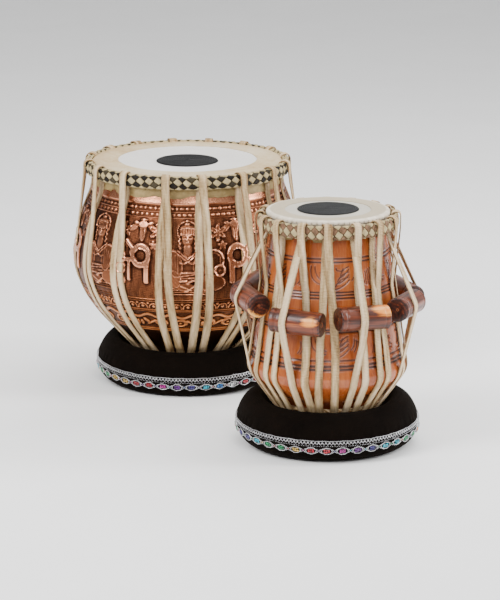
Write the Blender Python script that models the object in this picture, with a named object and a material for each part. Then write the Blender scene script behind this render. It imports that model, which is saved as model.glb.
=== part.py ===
"""A tabla set: a copper bass drum (bayan) and a wooden treble drum (dayan), each on its ring cushion.

Metres, +Z up. The drums stand side by side along X, bayan at -X and dayan at +X, on the floor at Z = 0.
The origin is on the floor under the middle of the set. Each drum is modelled round its own upright axis.
"""

import math

import bmesh
import bpy
from mathutils import Matrix, Vector

# Clearances and materials' thicknesses
GAP = 0.0003
SKIN = 0.0006
STRAP_THICKNESS = 0.0016
STRAP_LIFT = GAP + STRAP_THICKNESS / 2  # a strap's middle above the surface that it lies on
CORNER_LIFT = STRAP_LIFT + 0.0007  # the same where it turns round a ring or a tuning block
UNDER_SKIN_REACH = 0.010  # how far in over the mouth the lowest skin goes
SYAHI_HEIGHT = 0.0020
SYAHI_BEVEL = 0.0009

# The set
DRUM_DISTANCE = 0.352  # between the two drums' axes
LOOPS = 16  # lace loops over each braided hoop
LOOP_DEG = 360 / LOOPS
GATTAS = 8
SEGMENTS = 32  # sides of a turned part, two to a lace loop

# Bayan: the copper bass drum. Outlines are (radius, height) from the base up.
BAYAN_OUTLINE = [
    (0.0300, 0.0245),
    (0.0500, 0.0365),
    (0.0835, 0.0620),
    (0.1064, 0.0835),
    (0.1200, 0.1010),
    (0.1289, 0.1148),
    (0.1385, 0.1380),
    (0.1419, 0.1600),
    (0.1385, 0.1880),
    (0.1310, 0.2180),
    (0.1190, 0.2490),
    (0.1127, 0.2760),
]
BAYAN_WALL = 0.0020
BAYAN_MOUTH_TOP = 0.2790
BAYAN_SKIRT_BOTTOM = 0.2510
BAYAN_RIM_SKIN_INNER = 0.0863
BAYAN_SYAHI_RADIUS = 0.0385
BAYAN_SYAHI_OFFSET = 0.0135  # the bass drum's patch sits off centre
BAYAN_SYAHI_DEG = -28.7
BAYAN_HOOP = {"inner": 0.1218, "outer": 0.1282, "bottom": 0.2640, "top": 0.2792}
BAYAN_KUNDAL = {"foot": 0.0560, "thickness": 0.0028}
BAYAN_STRAP_WIDTH = 0.0100
BAYAN_FIRST_LOOP_DEG = -18.5
# How far apart a loop's two runs lie, as (height, degrees either side of the loop)
BAYAN_SPREAD = [(0.2640, 0.4), (0.2250, 2.3), (0.1570, 2.4), (0.0600, 4.0), (0.0380, 5.6)]

# Dayan: the wooden treble drum
DAYAN_OUTLINE = [
    (0.0350, 0.0205),
    (0.0490, 0.0430),
    (0.0606, 0.0585),
    (0.0752, 0.0705),
    (0.0880, 0.0840),
    (0.0925, 0.0945),
    (0.0912, 0.1030),
    (0.0890, 0.1130),
]
DAYAN_NECK = (0.0669, 0.2694)  # the wall is a straight cone up to here
DAYAN_MOUTH_TOP = 0.2770
DAYAN_CAVITY = [(0.0, 0.0850), (0.0640, 0.0950), (0.0730, 0.1200), (0.0570, 0.2620), (0.0550, 0.2770)]
DAYAN_SKIRT_BOTTOM = 0.2525
DAYAN_RIM_SKIN_INNER = 0.0503
DAYAN_SYAHI_RADIUS = 0.0360
DAYAN_HOOP = {"inner": 0.0748, "outer": 0.0828, "bottom": 0.2582, "top": 0.2752}
DAYAN_KUNDAL = {"foot": 0.0590, "thickness": 0.0024}
DAYAN_STRAP_WIDTH = 0.0090
DAYAN_FIRST_LOOP_DEG = -28.2
DAYAN_SPREAD = [(0.2600, 0.4), (0.2080, 3.5), (0.1400, 4.4), (0.0920, 5.2), (0.0450, 6.4)]
DAYAN_PRESSED = (0.1400, 0.2080)  # heights between which the tuning blocks press the straps to the wall

# Gattas: the turned wooden tuning blocks wedged under the treble drum's straps
GATTA_RADIUS = 0.0141
GATTA_LENGTH = 0.0620
GATTA_CHAMFER = 0.0020
GATTA_SIDES = 16
GATTA_HEIGHTS = [0.1700, 0.1725, 0.1720, 0.1685, 0.1740, 0.1780, 0.1780, 0.1652]
GATTA_TILTS_DEG = [-1.8, -2.0, 1.5, -1.0, 2.0, -1.5, -1.0, -1.4]
GATTA_SHIFTS_DEG = [0, 0, 0, 0, 0, 0, -3, 0]  # how far each has slid round from the middle of its strap

# Ring cushions: (radius, height) round the section, from the floor at the hole, over the outside
BAYAN_CUSHION = [
    (0.0500, 0.0000),
    (0.0980, 0.0000),
    (0.1060, 0.0060),
    (0.1115, 0.0110),
    (0.1146, 0.0180),
    (0.1146, 0.0300),
    (0.1122, 0.0400),
    (0.1060, 0.0505),
    (0.0980, 0.0572),
    (0.0910, 0.0590),
    (0.0882, 0.0576),
    (0.0835, 0.0490),
    (0.0700, 0.0320),
    (0.0590, 0.0190),
    (0.0480, 0.0090),
]
DAYAN_CUSHION = [
    (0.0500, 0.0000),
    (0.0920, 0.0000),
    (0.0985, 0.0060),
    (0.1035, 0.0110),
    (0.1074, 0.0180),
    (0.1074, 0.0310),
    (0.1055, 0.0430),
    (0.0985, 0.0545),
    (0.0890, 0.0608),
    (0.0848, 0.0622),
    (0.0815, 0.0604),
    (0.0745, 0.0570),
    (0.0715, 0.0515),
    (0.0655, 0.0455),
    (0.0570, 0.0330),
    (0.0490, 0.0090),
]
TRIM_HEIGHTS = (0.0165, 0.0330)
TRIM_THICKNESS = 0.0012

COLOURS = {
    "copper": ((0.55, 0.24, 0.13), 0.30, 1.0),
    "wood": ((0.42, 0.13, 0.04), 0.25, 0.0),
    "rosewood": ((0.16, 0.055, 0.035), 0.35, 0.0),
    "goat_skin": ((0.80, 0.74, 0.64), 0.60, 0.0),
    "rim_skin": ((0.74, 0.64, 0.48), 0.60, 0.0),
    "tuning_paste": ((0.035, 0.035, 0.038), 0.65, 0.0),
    "braid": ((0.55, 0.46, 0.30), 0.70, 0.0),
    "rawhide": ((0.62, 0.52, 0.38), 0.75, 0.0),
    "velvet": ((0.018, 0.012, 0.009), 0.95, 0.0),
    "silver_lace": ((0.62, 0.62, 0.64), 0.35, 0.8),
}


# ---------------------------------------------------------------- outlines


def offset(points, distance):
    """An open outline moved out of the material, which lies on its left, by a distance."""
    found = []
    for i, point in enumerate(points):
        before = Vector(points[max(i - 1, 0)])
        after = Vector(points[min(i + 1, len(points) - 1)])
        here = Vector(point)
        pairs = ((before, here), (here, after))
        sides = [(there - back).normalized() for back, there in pairs if there != back]
        normals = [Vector((side.y, -side.x)) for side in sides]
        middle = sum(normals, Vector((0, 0))).normalized()
        found.append(tuple(here + middle * distance / middle.dot(normals[0])))
    return found


def arc(centre, radius, start_deg, end_deg, steps):
    step_deg = (end_deg - start_deg) / steps
    angles = [math.radians(start_deg + step_deg * step) for step in range(steps + 1)]
    return [(centre[0] + radius * math.cos(a), centre[1] + radius * math.sin(a)) for a in angles]


def taut(points):
    """What is left of these points when a string is pulled tight round the outside of them."""
    kept = []
    for point in sorted(points, key=lambda p: -p[1]):
        while len(kept) > 1:
            (r0, z0), (r1, z1) = kept[-2:]
            if (r1 - r0) * (point[1] - z0) - (z1 - z0) * (point[0] - r0) < 0:
                break
            kept.pop()
        kept.append(point)
    return kept


def along(table, height):
    """The value at a height, read from (height, value) pairs that run downwards."""
    if height >= table[0][0]:
        return table[0][1]
    for (high, at_high), (low, at_low) in zip(table, table[1:]):
        if height >= low:
            return at_low + (at_high - at_low) * (height - low) / (high - low)
    return table[-1][1]


# ---------------------------------------------------------------- Blender objects


def material(name):
    made = bpy.data.materials.get(name)
    if made is None:
        colour, roughness, metallic = COLOURS[name]
        made = bpy.data.materials.new(name)
        made.use_nodes = True
        shader = made.node_tree.nodes["Principled BSDF"]
        shader.inputs["Base Color"].default_value = (*colour, 1.0)
        shader.inputs["Roughness"].default_value = roughness
        shader.inputs["Metallic"].default_value = metallic
        made.diffuse_color = (*colour, 1.0)
    return made


def add_object(name, mesh, material_name, parent):
    bmesh.ops.recalc_face_normals(mesh, faces=mesh.faces)
    data = bpy.data.meshes.new(name)
    mesh.to_mesh(data)
    mesh.free()
    data.shade_smooth()
    data.set_sharp_from_angle(angle=math.radians(35))
    data.materials.append(material(material_name))
    made = bpy.data.objects.new(name, data)
    bpy.context.scene.collection.objects.link(made)
    made.parent = parent
    return made


def add_empty(name, parent=None):
    made = bpy.data.objects.new(name, None)
    bpy.context.scene.collection.objects.link(made)
    made.parent = parent
    return made


def turned(outline, segments):
    """A closed outline, or one that starts and ends on the axis, spun round the Z axis."""
    mesh = bmesh.new()
    corners = [mesh.verts.new((radius, 0, height)) for radius, height in outline]
    pairs = list(zip(corners, corners[1:]))
    if outline[0][0] > 0 or outline[-1][0] > 0:
        pairs.append((corners[-1], corners[0]))
    edges = [mesh.edges.new(pair) for pair in pairs]
    bmesh.ops.spin(
        mesh,
        geom=corners + edges,
        cent=(0, 0, 0),
        axis=(0, 0, 1),
        angle=2 * math.pi,
        steps=segments,
        use_merge=False,
    )
    bmesh.ops.remove_doubles(mesh, verts=mesh.verts, dist=1e-6)
    return mesh


def add_turned(name, outline, material_name, parent, segments=SEGMENTS):
    return add_object(name, turned(outline, segments), material_name, parent)


def closed_ring(inside, outside):
    """One closed outline from two that run side by side."""
    return [*outside, *reversed(inside)]


# ---------------------------------------------------------------- heads


def lip(wall, mouth_top):
    """The two points that round the mouth of a shell, inwards from its wall's top."""
    corner = (mouth_top - wall[-1][1]) * 0.55
    radius = wall[-1][0]
    return [(radius - corner * 0.30, mouth_top - corner * 0.35), (radius - corner, mouth_top)]


def head_layers(wall, mouth_top, skirt_bottom):
    """The lower and upper face of each of three skins, from the shell outwards."""
    heights = [(z, r) for r, z in reversed(wall)]
    neck = [point for point in wall if point[1] > skirt_bottom]
    rim = [(along(heights, skirt_bottom), skirt_bottom), *neck, *lip(wall, mouth_top)]
    faces = []
    for layer in range(3):
        near = GAP + layer * (GAP + SKIN)
        faces.append((offset(rim, near), offset(rim, near + SKIN)))
    return faces


def add_head(drum, parent, layers, rim_inner, syahi_radius, syahi_at):
    under_inner = layers[0][0][-1][0] - UNDER_SKIN_REACH
    inner_edges = (
        ("under_skin", "goat_skin", under_inner),
        ("main_skin", "goat_skin", 0.0),
        ("rim_skin", "rim_skin", rim_inner),
    )
    for (part, made_of, inner), layer in zip(inner_edges, layers):
        faces = [[*face, (inner, face[-1][1])] for face in layer]
        add_turned(f"{drum}_{part}", closed_ring(*faces), made_of, parent)
    base = layers[1][1][-1][1] + GAP
    patch = [
        (0.0, base),
        (syahi_radius, base),
        (syahi_radius - SYAHI_BEVEL, base + SYAHI_BEVEL),
        (0.0, base + SYAHI_HEIGHT),
    ]
    syahi = add_turned(drum + "_syahi", patch, "tuning_paste", parent)
    syahi.location = syahi_at


# ---------------------------------------------------------------- braided hoops


def hoop_section(hoop):
    """The hoop's chamfered section, from its foot round the inside and over the top."""
    corner = (hoop["outer"] - hoop["inner"]) * 0.38
    high, low = hoop["top"] - corner, hoop["bottom"] + corner
    near, far = hoop["inner"] + corner, hoop["outer"] - corner
    return [
        (near, hoop["bottom"]),
        (hoop["inner"], low),
        (hoop["inner"], high),
        (near, hoop["top"]),
        (far, hoop["top"]),
        (hoop["outer"], high),
        (hoop["outer"], low),
        (far, hoop["bottom"]),
    ]


def round_hoop(hoop, lift):
    """A strap's middle as it turns round each corner of the hoop, this far above it."""
    return offset(hoop_section(hoop), -lift)


# ---------------------------------------------------------------- lace


def kundal_of(wall, kundal):
    """The bottom ring's centre, the wall's outward direction beside it in degrees, and its thickness."""
    k = next(i for i, point in enumerate(wall) if point[0] > kundal["foot"])
    low, high = Vector(wall[k - 1]), Vector(wall[k])
    foot = low.lerp(high, (kundal["foot"] - low.x) / (high.x - low.x))
    side = (high - low).normalized()
    out = Vector((side.y, -side.x))
    centre = foot + out * (kundal["thickness"] + 2 * CORNER_LIFT)
    return tuple(centre), math.degrees(math.atan2(out.y, out.x)), kundal["thickness"]


def beside_ring(ring, turn_deg):
    """A strap's middle against the bottom ring, this far round the ring from the wall's outside."""
    return arc(ring[0], ring[2] + CORNER_LIFT, ring[1] + turn_deg, ring[1] + turn_deg, 1)[0]


def wall_bed(wall, hoop, ring):
    """Where a strap's middle lies on the wall, from the bottom ring up to under the hoop."""
    lowest, highest = ring[0][1] + 0.006, hoop["bottom"] - 0.012
    return [point for point in offset(wall, STRAP_LIFT) if lowest < point[1] < highest]


def pressed_bed(bed):
    """The same where tuning blocks press the straps to the wall's straight stretch."""
    line = [(DAYAN_NECK[1], DAYAN_NECK[0] + STRAP_LIFT), *[(z, r) for r, z in reversed(bed)]]
    return [*bed, *[(along(line, height), height) for height in DAYAN_PRESSED]]


def outer_run(wall, hoop, ring, pressed):
    """The run over the hoop's outside and outside the bottom ring, from the hoop's top down."""
    over = round_hoop(hoop, STRAP_LIFT)[4:7]
    bed = wall_bed(wall, hoop, ring)
    end = beside_ring(ring, 0)
    if pressed:
        return [*over, *taut([*pressed_bed(bed), end])]
    return [*over[:2], *taut([*over[1:], *bed, end])[1:]]


def inner_run(wall, hoop, ring, pressed, block=None):
    """The run inside the bottom ring and inside the hoop, from the ring up to the hoop's top."""
    behind = round_hoop(hoop, CORNER_LIFT)[2:4]
    below = (hoop["inner"] - CORNER_LIFT, hoop["bottom"] + 0.001)
    bed = wall_bed(wall, hoop, ring)
    end = beside_ring(ring, 180)
    if block:
        round_block = arc(block, GATTA_RADIUS + CORNER_LIFT + 3 * GAP, 62, -58, 5)
        run = taut([below, *round_block, *bed, end])
    elif pressed:
        run = [below, *taut([*pressed_bed(bed), end])]
    else:
        run = taut([below, *bed, end])
    return [*reversed(run), *behind]


def under_ring(ring):
    """Round the bottom ring's underside, from its outside to its inside."""
    return arc(ring[0], ring[2] + CORNER_LIFT, ring[1], ring[1] - 180, 4)[1:-1]


def block_middle(height):
    """(radius, height) of a tuning block's axis when it lies on the straps at this height."""
    slope = cone_slope()
    away = GATTA_RADIUS + STRAP_THICKNESS + 3 * GAP
    foot = height - away * math.sin(slope)
    low, high = DAYAN_OUTLINE[-1], DAYAN_NECK
    share = (foot - low[1]) / (high[1] - low[1])
    return (low[0] + (high[0] - low[0]) * share + away * math.cos(slope), height)


def cone_slope():
    """The angle between the treble drum's straight wall and the vertical, in radians."""
    low, high = DAYAN_OUTLINE[-1], DAYAN_NECK
    return math.atan2(low[0] - high[0], high[1] - low[1])


def lace_stations(wall, hoop, ring, spread, blocks):
    """(radius, height, degrees) at each station of the one lace, which zigzags from hoop to ring."""
    stations = []
    pressed = blocks is not None
    for loop in range(LOOPS):
        here = loop * LOOP_DEG
        block = blocks[loop] if pressed else None
        for radius, height in inner_run(wall, hoop, ring, pressed, block):
            stations.append((radius, height, here - along(spread, height)))
        for radius, height in outer_run(wall, hoop, ring, pressed):
            stations.append((radius, height, here + along(spread, height)))
        turn = under_ring(ring)
        from_deg = here + along(spread, ring[0][1])
        to_deg = here + LOOP_DEG - along(spread, ring[0][1])
        for step, (radius, height) in enumerate(turn, 1):
            share = step / (len(turn) + 1)
            stations.append((radius, height, from_deg + (to_deg - from_deg) * share))
    return stations


def add_lace(name, parent, stations, width):
    """A flat strap of one closed length through the stations."""
    mesh = bmesh.new()
    count = len(stations)
    rings = []
    for i, (radius, height, degrees) in enumerate(stations):
        before, after = stations[i - 1], stations[(i + 1) % count]
        run = Vector((after[0] - before[0], after[1] - before[1])).normalized()
        turn = math.radians(degrees)
        out = Vector((math.cos(turn), math.sin(turn), 0))
        side = Vector((-math.sin(turn), math.cos(turn), 0)) * width / 2
        lift = (out * run.y + Vector((0, 0, -run.x))) * STRAP_THICKNESS / 2
        middle = out * radius + Vector((0, 0, height))
        corners = [middle + side + lift, middle - side + lift]
        corners += [middle - side - lift, middle + side - lift]
        rings.append([mesh.verts.new(corner) for corner in corners])
    for i, ring in enumerate(rings):
        following = rings[(i + 1) % count]
        for k in range(4):
            mesh.faces.new((ring[k], ring[(k + 1) % 4], following[(k + 1) % 4], following[k]))
    return add_object(name, mesh, "rawhide", parent)


# ---------------------------------------------------------------- the two drums


def add_bayan(parent):
    outside = [*BAYAN_OUTLINE, *lip(BAYAN_OUTLINE, BAYAN_MOUTH_TOP)]
    inside = offset(BAYAN_OUTLINE, -BAYAN_WALL)
    rim = (inside[-1][0], BAYAN_MOUTH_TOP)
    shell = [(0.0, outside[0][1]), *outside, rim, *reversed(inside), (0.0, inside[0][1])]
    add_turned("bayan_shell", shell, "copper", parent)
    turn = math.radians(BAYAN_SYAHI_DEG - BAYAN_FIRST_LOOP_DEG)
    syahi_at = (BAYAN_SYAHI_OFFSET * math.cos(turn), BAYAN_SYAHI_OFFSET * math.sin(turn), 0)
    layers = head_layers(BAYAN_OUTLINE, BAYAN_MOUTH_TOP, BAYAN_SKIRT_BOTTOM)
    add_head("bayan", parent, layers, BAYAN_RIM_SKIN_INNER, BAYAN_SYAHI_RADIUS, syahi_at)
    add_turned("bayan_hoop", hoop_section(BAYAN_HOOP), "braid", parent)
    ring = kundal_of(BAYAN_OUTLINE, BAYAN_KUNDAL)
    add_turned("bayan_kundal", arc(ring[0], ring[2], 0, 360, 6)[:-1], "rawhide", parent)
    stations = lace_stations(BAYAN_OUTLINE, BAYAN_HOOP, ring, BAYAN_SPREAD, None)
    add_lace("bayan_lace", parent, stations, BAYAN_STRAP_WIDTH)


def add_dayan(parent):
    wall = [*DAYAN_OUTLINE, DAYAN_NECK]
    shell = [(0.0, wall[0][1]), *wall, *lip(wall, DAYAN_MOUTH_TOP), *reversed(DAYAN_CAVITY)]
    add_turned("dayan_shell", shell, "wood", parent)
    layers = head_layers(wall, DAYAN_MOUTH_TOP, DAYAN_SKIRT_BOTTOM)
    add_head("dayan", parent, layers, DAYAN_RIM_SKIN_INNER, DAYAN_SYAHI_RADIUS, (0, 0, 0))
    add_turned("dayan_hoop", hoop_section(DAYAN_HOOP), "braid", parent)
    ring = kundal_of(wall, DAYAN_KUNDAL)
    add_turned("dayan_kundal", arc(ring[0], ring[2], 0, 360, 6)[:-1], "rawhide", parent)
    blocks = [block_middle(GATTA_HEIGHTS[loop // 2]) if loop % 2 else None for loop in range(LOOPS)]
    stations = lace_stations(wall, DAYAN_HOOP, ring, DAYAN_SPREAD, blocks)
    add_lace("dayan_lace", parent, stations, DAYAN_STRAP_WIDTH)


def gatta_deg(index):
    """The direction of a tuning block from the treble drum's axis, from the first loop round."""
    return (2 * index + 1) * LOOP_DEG + GATTA_SHIFTS_DEG[index]


def add_gatta(index, parent):
    half = GATTA_LENGTH / 2
    section = [
        (0.0, -half),
        (GATTA_RADIUS - GATTA_CHAMFER, -half),
        (GATTA_RADIUS, -half + GATTA_CHAMFER),
        (GATTA_RADIUS, half - GATTA_CHAMFER),
        (GATTA_RADIUS - GATTA_CHAMFER, half),
        (0.0, half),
    ]
    made = add_turned(f"gatta_{index + 1}", section, "rosewood", parent, GATTA_SIDES)
    radius, height = block_middle(GATTA_HEIGHTS[index])
    turn = math.radians(gatta_deg(index))
    tilt = math.radians(90 + GATTA_TILTS_DEG[index])
    lying = Matrix.Rotation(turn, 4, "Z") @ Matrix.Rotation(tilt, 4, "X")
    middle = Vector((radius * math.cos(turn), radius * math.sin(turn), height))
    made.matrix_local = Matrix.Translation(middle) @ lying
    return made


# ---------------------------------------------------------------- cushions


def add_cushion(drum, parent, outline):
    """A padded ring with its hole under the drum, and the silver lace band round its outside."""
    add_turned(drum + "_cushion", outline, "velvet", parent)
    low, high = TRIM_HEIGHTS
    side = [point for point in outline if low < point[1] < high and point[0] > outline[1][0]]
    band = closed_ring(offset(side, GAP), offset(side, GAP + TRIM_THICKNESS))
    add_turned(drum + "_cushion_trim", band, "silver_lace", parent)


def centre_on_floor(whole):
    """Moves the set so that its box is centred on the Z axis."""
    bpy.context.view_layer.update()
    corners = [
        made.matrix_world @ vertex.co
        for made in bpy.context.scene.objects
        if made.type == "MESH"
        for vertex in made.data.vertices
    ]
    for axis in range(2):
        places = [corner[axis] for corner in corners]
        whole.location[axis] = -(min(places) + max(places)) / 2


def main():
    for old in list(bpy.data.objects):
        bpy.data.objects.remove(old)
    whole = add_empty("tabla_set")
    bayan = add_empty("bayan_axis", whole)
    dayan = add_empty("dayan_axis", whole)
    bayan.location.x = -DRUM_DISTANCE / 2
    dayan.location.x = DRUM_DISTANCE / 2
    bayan.rotation_euler.z = math.radians(BAYAN_FIRST_LOOP_DEG)
    dayan.rotation_euler.z = math.radians(DAYAN_FIRST_LOOP_DEG)
    add_cushion("bayan", bayan, BAYAN_CUSHION)
    add_bayan(bayan)
    add_cushion("dayan", dayan, DAYAN_CUSHION)
    add_dayan(dayan)
    for index in range(GATTAS):
        add_gatta(index, dayan)
    centre_on_floor(whole)


main()
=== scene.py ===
"""The looks of a tabla set: an embossed copper bass drum (bayan) and a varnished wooden treble drum (dayan).

Lengths are in metres unless a name ends in _MM. The reliefs and carvings are drawn in millimetres: x runs round
the drum and y is the height above the floor. Each drum is made round its own axis, whose place comes from the
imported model. Angles round a drum are in degrees from +X, anticlockwise seen from above.
"""

import math
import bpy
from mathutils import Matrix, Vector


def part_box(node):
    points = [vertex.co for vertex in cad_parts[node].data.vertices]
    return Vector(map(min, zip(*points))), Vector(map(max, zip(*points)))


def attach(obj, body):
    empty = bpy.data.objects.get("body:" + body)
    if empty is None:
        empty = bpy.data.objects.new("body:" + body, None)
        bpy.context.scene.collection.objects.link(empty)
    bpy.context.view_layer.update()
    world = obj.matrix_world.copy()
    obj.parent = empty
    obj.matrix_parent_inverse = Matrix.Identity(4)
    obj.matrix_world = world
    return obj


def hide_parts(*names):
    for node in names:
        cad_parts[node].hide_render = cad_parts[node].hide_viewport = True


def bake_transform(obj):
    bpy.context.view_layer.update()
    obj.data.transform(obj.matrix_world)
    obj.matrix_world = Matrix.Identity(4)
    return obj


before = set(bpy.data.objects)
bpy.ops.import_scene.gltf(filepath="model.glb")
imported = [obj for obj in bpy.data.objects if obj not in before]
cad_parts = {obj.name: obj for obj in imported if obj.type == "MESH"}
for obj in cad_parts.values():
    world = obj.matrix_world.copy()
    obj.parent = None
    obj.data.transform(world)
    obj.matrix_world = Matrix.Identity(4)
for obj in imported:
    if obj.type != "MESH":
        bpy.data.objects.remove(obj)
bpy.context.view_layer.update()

from types import SimpleNamespace

import bmesh
import bpy
import numpy as np
from mathutils import Vector

MM = 0.001

# ---------------------------------------------------------------- driving dimensions

LOOPS = 16
LOOP_DEG = 360 / LOOPS
FACING_DEG = -28.7  # the side of the set that faces the camera
FACING = math.radians(FACING_DEG)

# Outlines of the shells, as (radius, height), from the foot upwards.
BAYAN_OUTLINE = [
    (0.0300, 0.0245),
    (0.0500, 0.0365),
    (0.0835, 0.0620),
    (0.1064, 0.0835),
    (0.1200, 0.1010),
    (0.1289, 0.1148),
    (0.1385, 0.1380),
    (0.1419, 0.1600),
    (0.1385, 0.1880),
    (0.1310, 0.2180),
    (0.1190, 0.2490),
    (0.1127, 0.2760),
]
DAYAN_OUTLINE = [
    (0.0350, 0.0205),
    (0.0490, 0.0430),
    (0.0606, 0.0585),
    (0.0752, 0.0705),
    (0.0880, 0.0840),
    (0.0925, 0.0945),
    (0.0912, 0.1030),
    (0.0890, 0.1130),
]
DAYAN_NECK = (0.0669, 0.2694)

GATTA_RADIUS = 0.0141
GATTA_LENGTH = 0.0620
GATTA_HEIGHTS = [0.1700, 0.1725, 0.1720, 0.1685, 0.1740, 0.1780, 0.1780, 0.1652]
GATTA_TILTS_DEG = [-1.8, -2.0, 1.5, -1.0, 2.0, -1.5, -1.0, -1.4]
GATTA_SHIFTS_DEG = [0, 0, 0, 0, 0, 0, -3, 0]

STRAP_THICKNESS = 0.0015
STRAP_LIFT = 0.0011  # from a shell's wall to the middle of a strap that lies on it


# ---------------------------------------------------------------- outlines


def spline(keys, steps):
    """Points on a Catmull-Rom curve through the keys."""
    keys = np.array(keys, float)
    ends = np.vstack([2 * keys[0] - keys[1], keys, 2 * keys[-1] - keys[-2]])
    t = np.linspace(0, 1, steps, endpoint=False)[:, None]
    spans = [
        0.5 * (2 * b + (c - a) * t + (2 * a - 5 * b + 4 * c - d) * t**2 + (3 * b - a - 3 * c + d) * t**3)
        for a, b, c, d in zip(ends, ends[1:], ends[2:], ends[3:])
    ]
    return np.vstack([*spans, keys[-1:]])


def arc(centre, radius, start_deg, end_deg, steps):
    angles = np.radians(np.linspace(start_deg, end_deg, steps + 1))
    return np.stack([centre[0] + radius * np.cos(angles), centre[1] + radius * np.sin(angles)], axis=1)


def lengths_along(points):
    return np.concatenate([[0], np.cumsum(np.linalg.norm(np.diff(points, axis=0), axis=1))])


def resample(points, spacing):
    """The same line with its points this far apart."""
    points = np.array(points, float)
    run = lengths_along(points)
    at = np.linspace(0, run[-1], max(int(round(run[-1] / spacing)), 2) + 1)
    return np.stack([np.interp(at, run, points[:, k]) for k in range(points.shape[1])], axis=1)


def softened(points, times):
    """The line with its corners rounded and its ends kept."""
    points = points.copy()
    for _ in range(times):
        points[1:-1] = (points[:-2] + 2 * points[1:-1] + points[2:]) / 4
    return points


def unit(vectors):
    return vectors / np.linalg.norm(vectors, axis=-1, keepdims=True)


def normals_of(points):
    """Outward normals of an outline that runs upwards on a drum's outside."""
    along = unit(np.gradient(points, axis=0))
    return np.stack([along[:, 1], -along[:, 0]], axis=1)


def offset(points, distance):
    points = np.array(points, float)
    return points + normals_of(points) * distance


def taut(points):
    """What is left of these points when a string is pulled tight round their outside, from the top."""
    kept = []
    for point in sorted(map(tuple, points), key=lambda p: -p[1]):
        while len(kept) > 1:
            (r0, z0), (r1, z1) = kept[-2:]
            if (r1 - r0) * (point[1] - z0) - (z1 - z0) * (point[0] - r0) < 0:
                break
            kept.pop()
        kept.append(point)
    return kept


def turns(count):
    """Evenly spaced angles round a circle, in radians."""
    return np.arange(count) / count * 2 * math.pi


def smooth_noise(count, knots, seed):
    """A smooth closed run of random values from -1 to 1 round a ring."""
    keys = np.random.default_rng(seed).uniform(-1.0, 1.0, knots)
    at = np.arange(count) * knots / count
    first = at.astype(int)
    share = at - first
    share = share * share * (3 - 2 * share)
    return keys[first % knots] * (1 - share) + keys[(first + 1) % knots] * share


def wall_radius(wall, z):
    return np.interp(z, wall[:, 1], wall[:, 0])


def wall_between(wall, low, high, spacing):
    """The part of a wall's outline between two heights, with its points this far apart."""
    inside = wall[(wall[:, 1] > low + 1e-4) & (wall[:, 1] < high - 1e-4)]
    return resample([(wall_radius(wall, low), low), *inside, (wall_radius(wall, high), high)], spacing)


# ---------------------------------------------------------------- meshes


def grid(rows, columns, closed_rows=False):
    """The quads of a net of points that is closed round its columns, and round its rows if so told."""
    index = np.arange(rows * columns).reshape(rows, columns)
    index = np.hstack([index, index[:, :1]])
    if closed_rows:
        index = np.vstack([index, index[:1]])
    corners = [index[:-1, :-1], index[:-1, 1:], index[1:, 1:], index[1:, :-1]]
    return np.stack(corners, axis=-1).reshape(-1, 4)


def linked(name, data):
    made = bpy.data.objects.new(name, data)
    bpy.context.scene.collection.objects.link(made)
    return made


def meshed(name, points, faces, values):
    """A linked object from a cloud of points, its faces and the numbers or vectors that its points carry."""
    mesh = bpy.data.meshes.new(name)
    mesh.from_pydata(points.reshape(-1, 3).tolist(), [], faces)
    for key, numbers in values.items():
        numbers = np.asarray(numbers, np.float32).reshape(points.size // 3, -1)
        kind, field = ("FLOAT", "value") if numbers.shape[1] == 1 else ("FLOAT_VECTOR", "vector")
        mesh.attributes.new(key, kind, "POINT").data.foreach_set(field, numbers.ravel())
    mended = bmesh.new()
    mended.from_mesh(mesh)
    bmesh.ops.remove_doubles(mended, verts=mended.verts, dist=1e-6)
    bmesh.ops.recalc_face_normals(mended, faces=mended.faces)
    mended.to_mesh(mesh)
    mended.free()
    return linked(name, mesh)


def enter(made, body, material, replaces):
    """Gives a piece its material and its place in the model."""
    made.data.materials.append(material)
    if body:
        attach(made, body)
    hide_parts(replaces)


def piece(name, points, quads, body, material, slot, replaces, caps=(), **values):
    """One object of the visual model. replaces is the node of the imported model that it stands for."""
    made = meshed(name, points, [*quads.tolist(), *caps], values)
    made.data.shade_smooth()
    made.data.set_sharp_from_angle(angle=math.radians(50))
    enter(made, body, material, replaces)
    return made


def rings(centre_x, radius, height, angles):
    """Points on circles round an upright axis, as rows x columns x 3."""
    flat = 0 * radius + 0 * height + 0 * angles
    return np.stack([centre_x + radius * np.cos(angles), radius * np.sin(angles), height + flat], axis=-1)


def spun(outline, columns, axis_x, start_deg=0.0):
    """An outline of (radius, height) turned round a drum's axis."""
    outline = np.asarray(outline, float)
    return rings(axis_x, outline[:, :1], outline[:, 1:], np.radians(start_deg) + turns(columns))


def away(points, axis_x, distance):
    """The points moved out from a drum's axis."""
    out = points.copy()
    flat = points[..., :2] - [axis_x, 0]
    flat /= np.maximum(np.linalg.norm(flat, axis=-1, keepdims=True), 1e-9)
    out[..., :2] += flat * np.asarray(distance)[..., None]
    return out


def embossed(outline, columns, axis_x, amount, start_deg=0.0, closed=False):
    """An outline turned round a drum's axis, with its points pushed out along its normals."""
    looped = np.vstack([outline[-1:], outline, outline[:1]])
    normals = normals_of(looped)[1:-1] if closed else normals_of(outline)
    points = away(spun(outline, columns, axis_x, start_deg), axis_x, amount * normals[:, :1])
    points[..., 2] += amount * normals[:, 1:]
    return points


# ---------------------------------------------------------------- shader nodes


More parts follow.
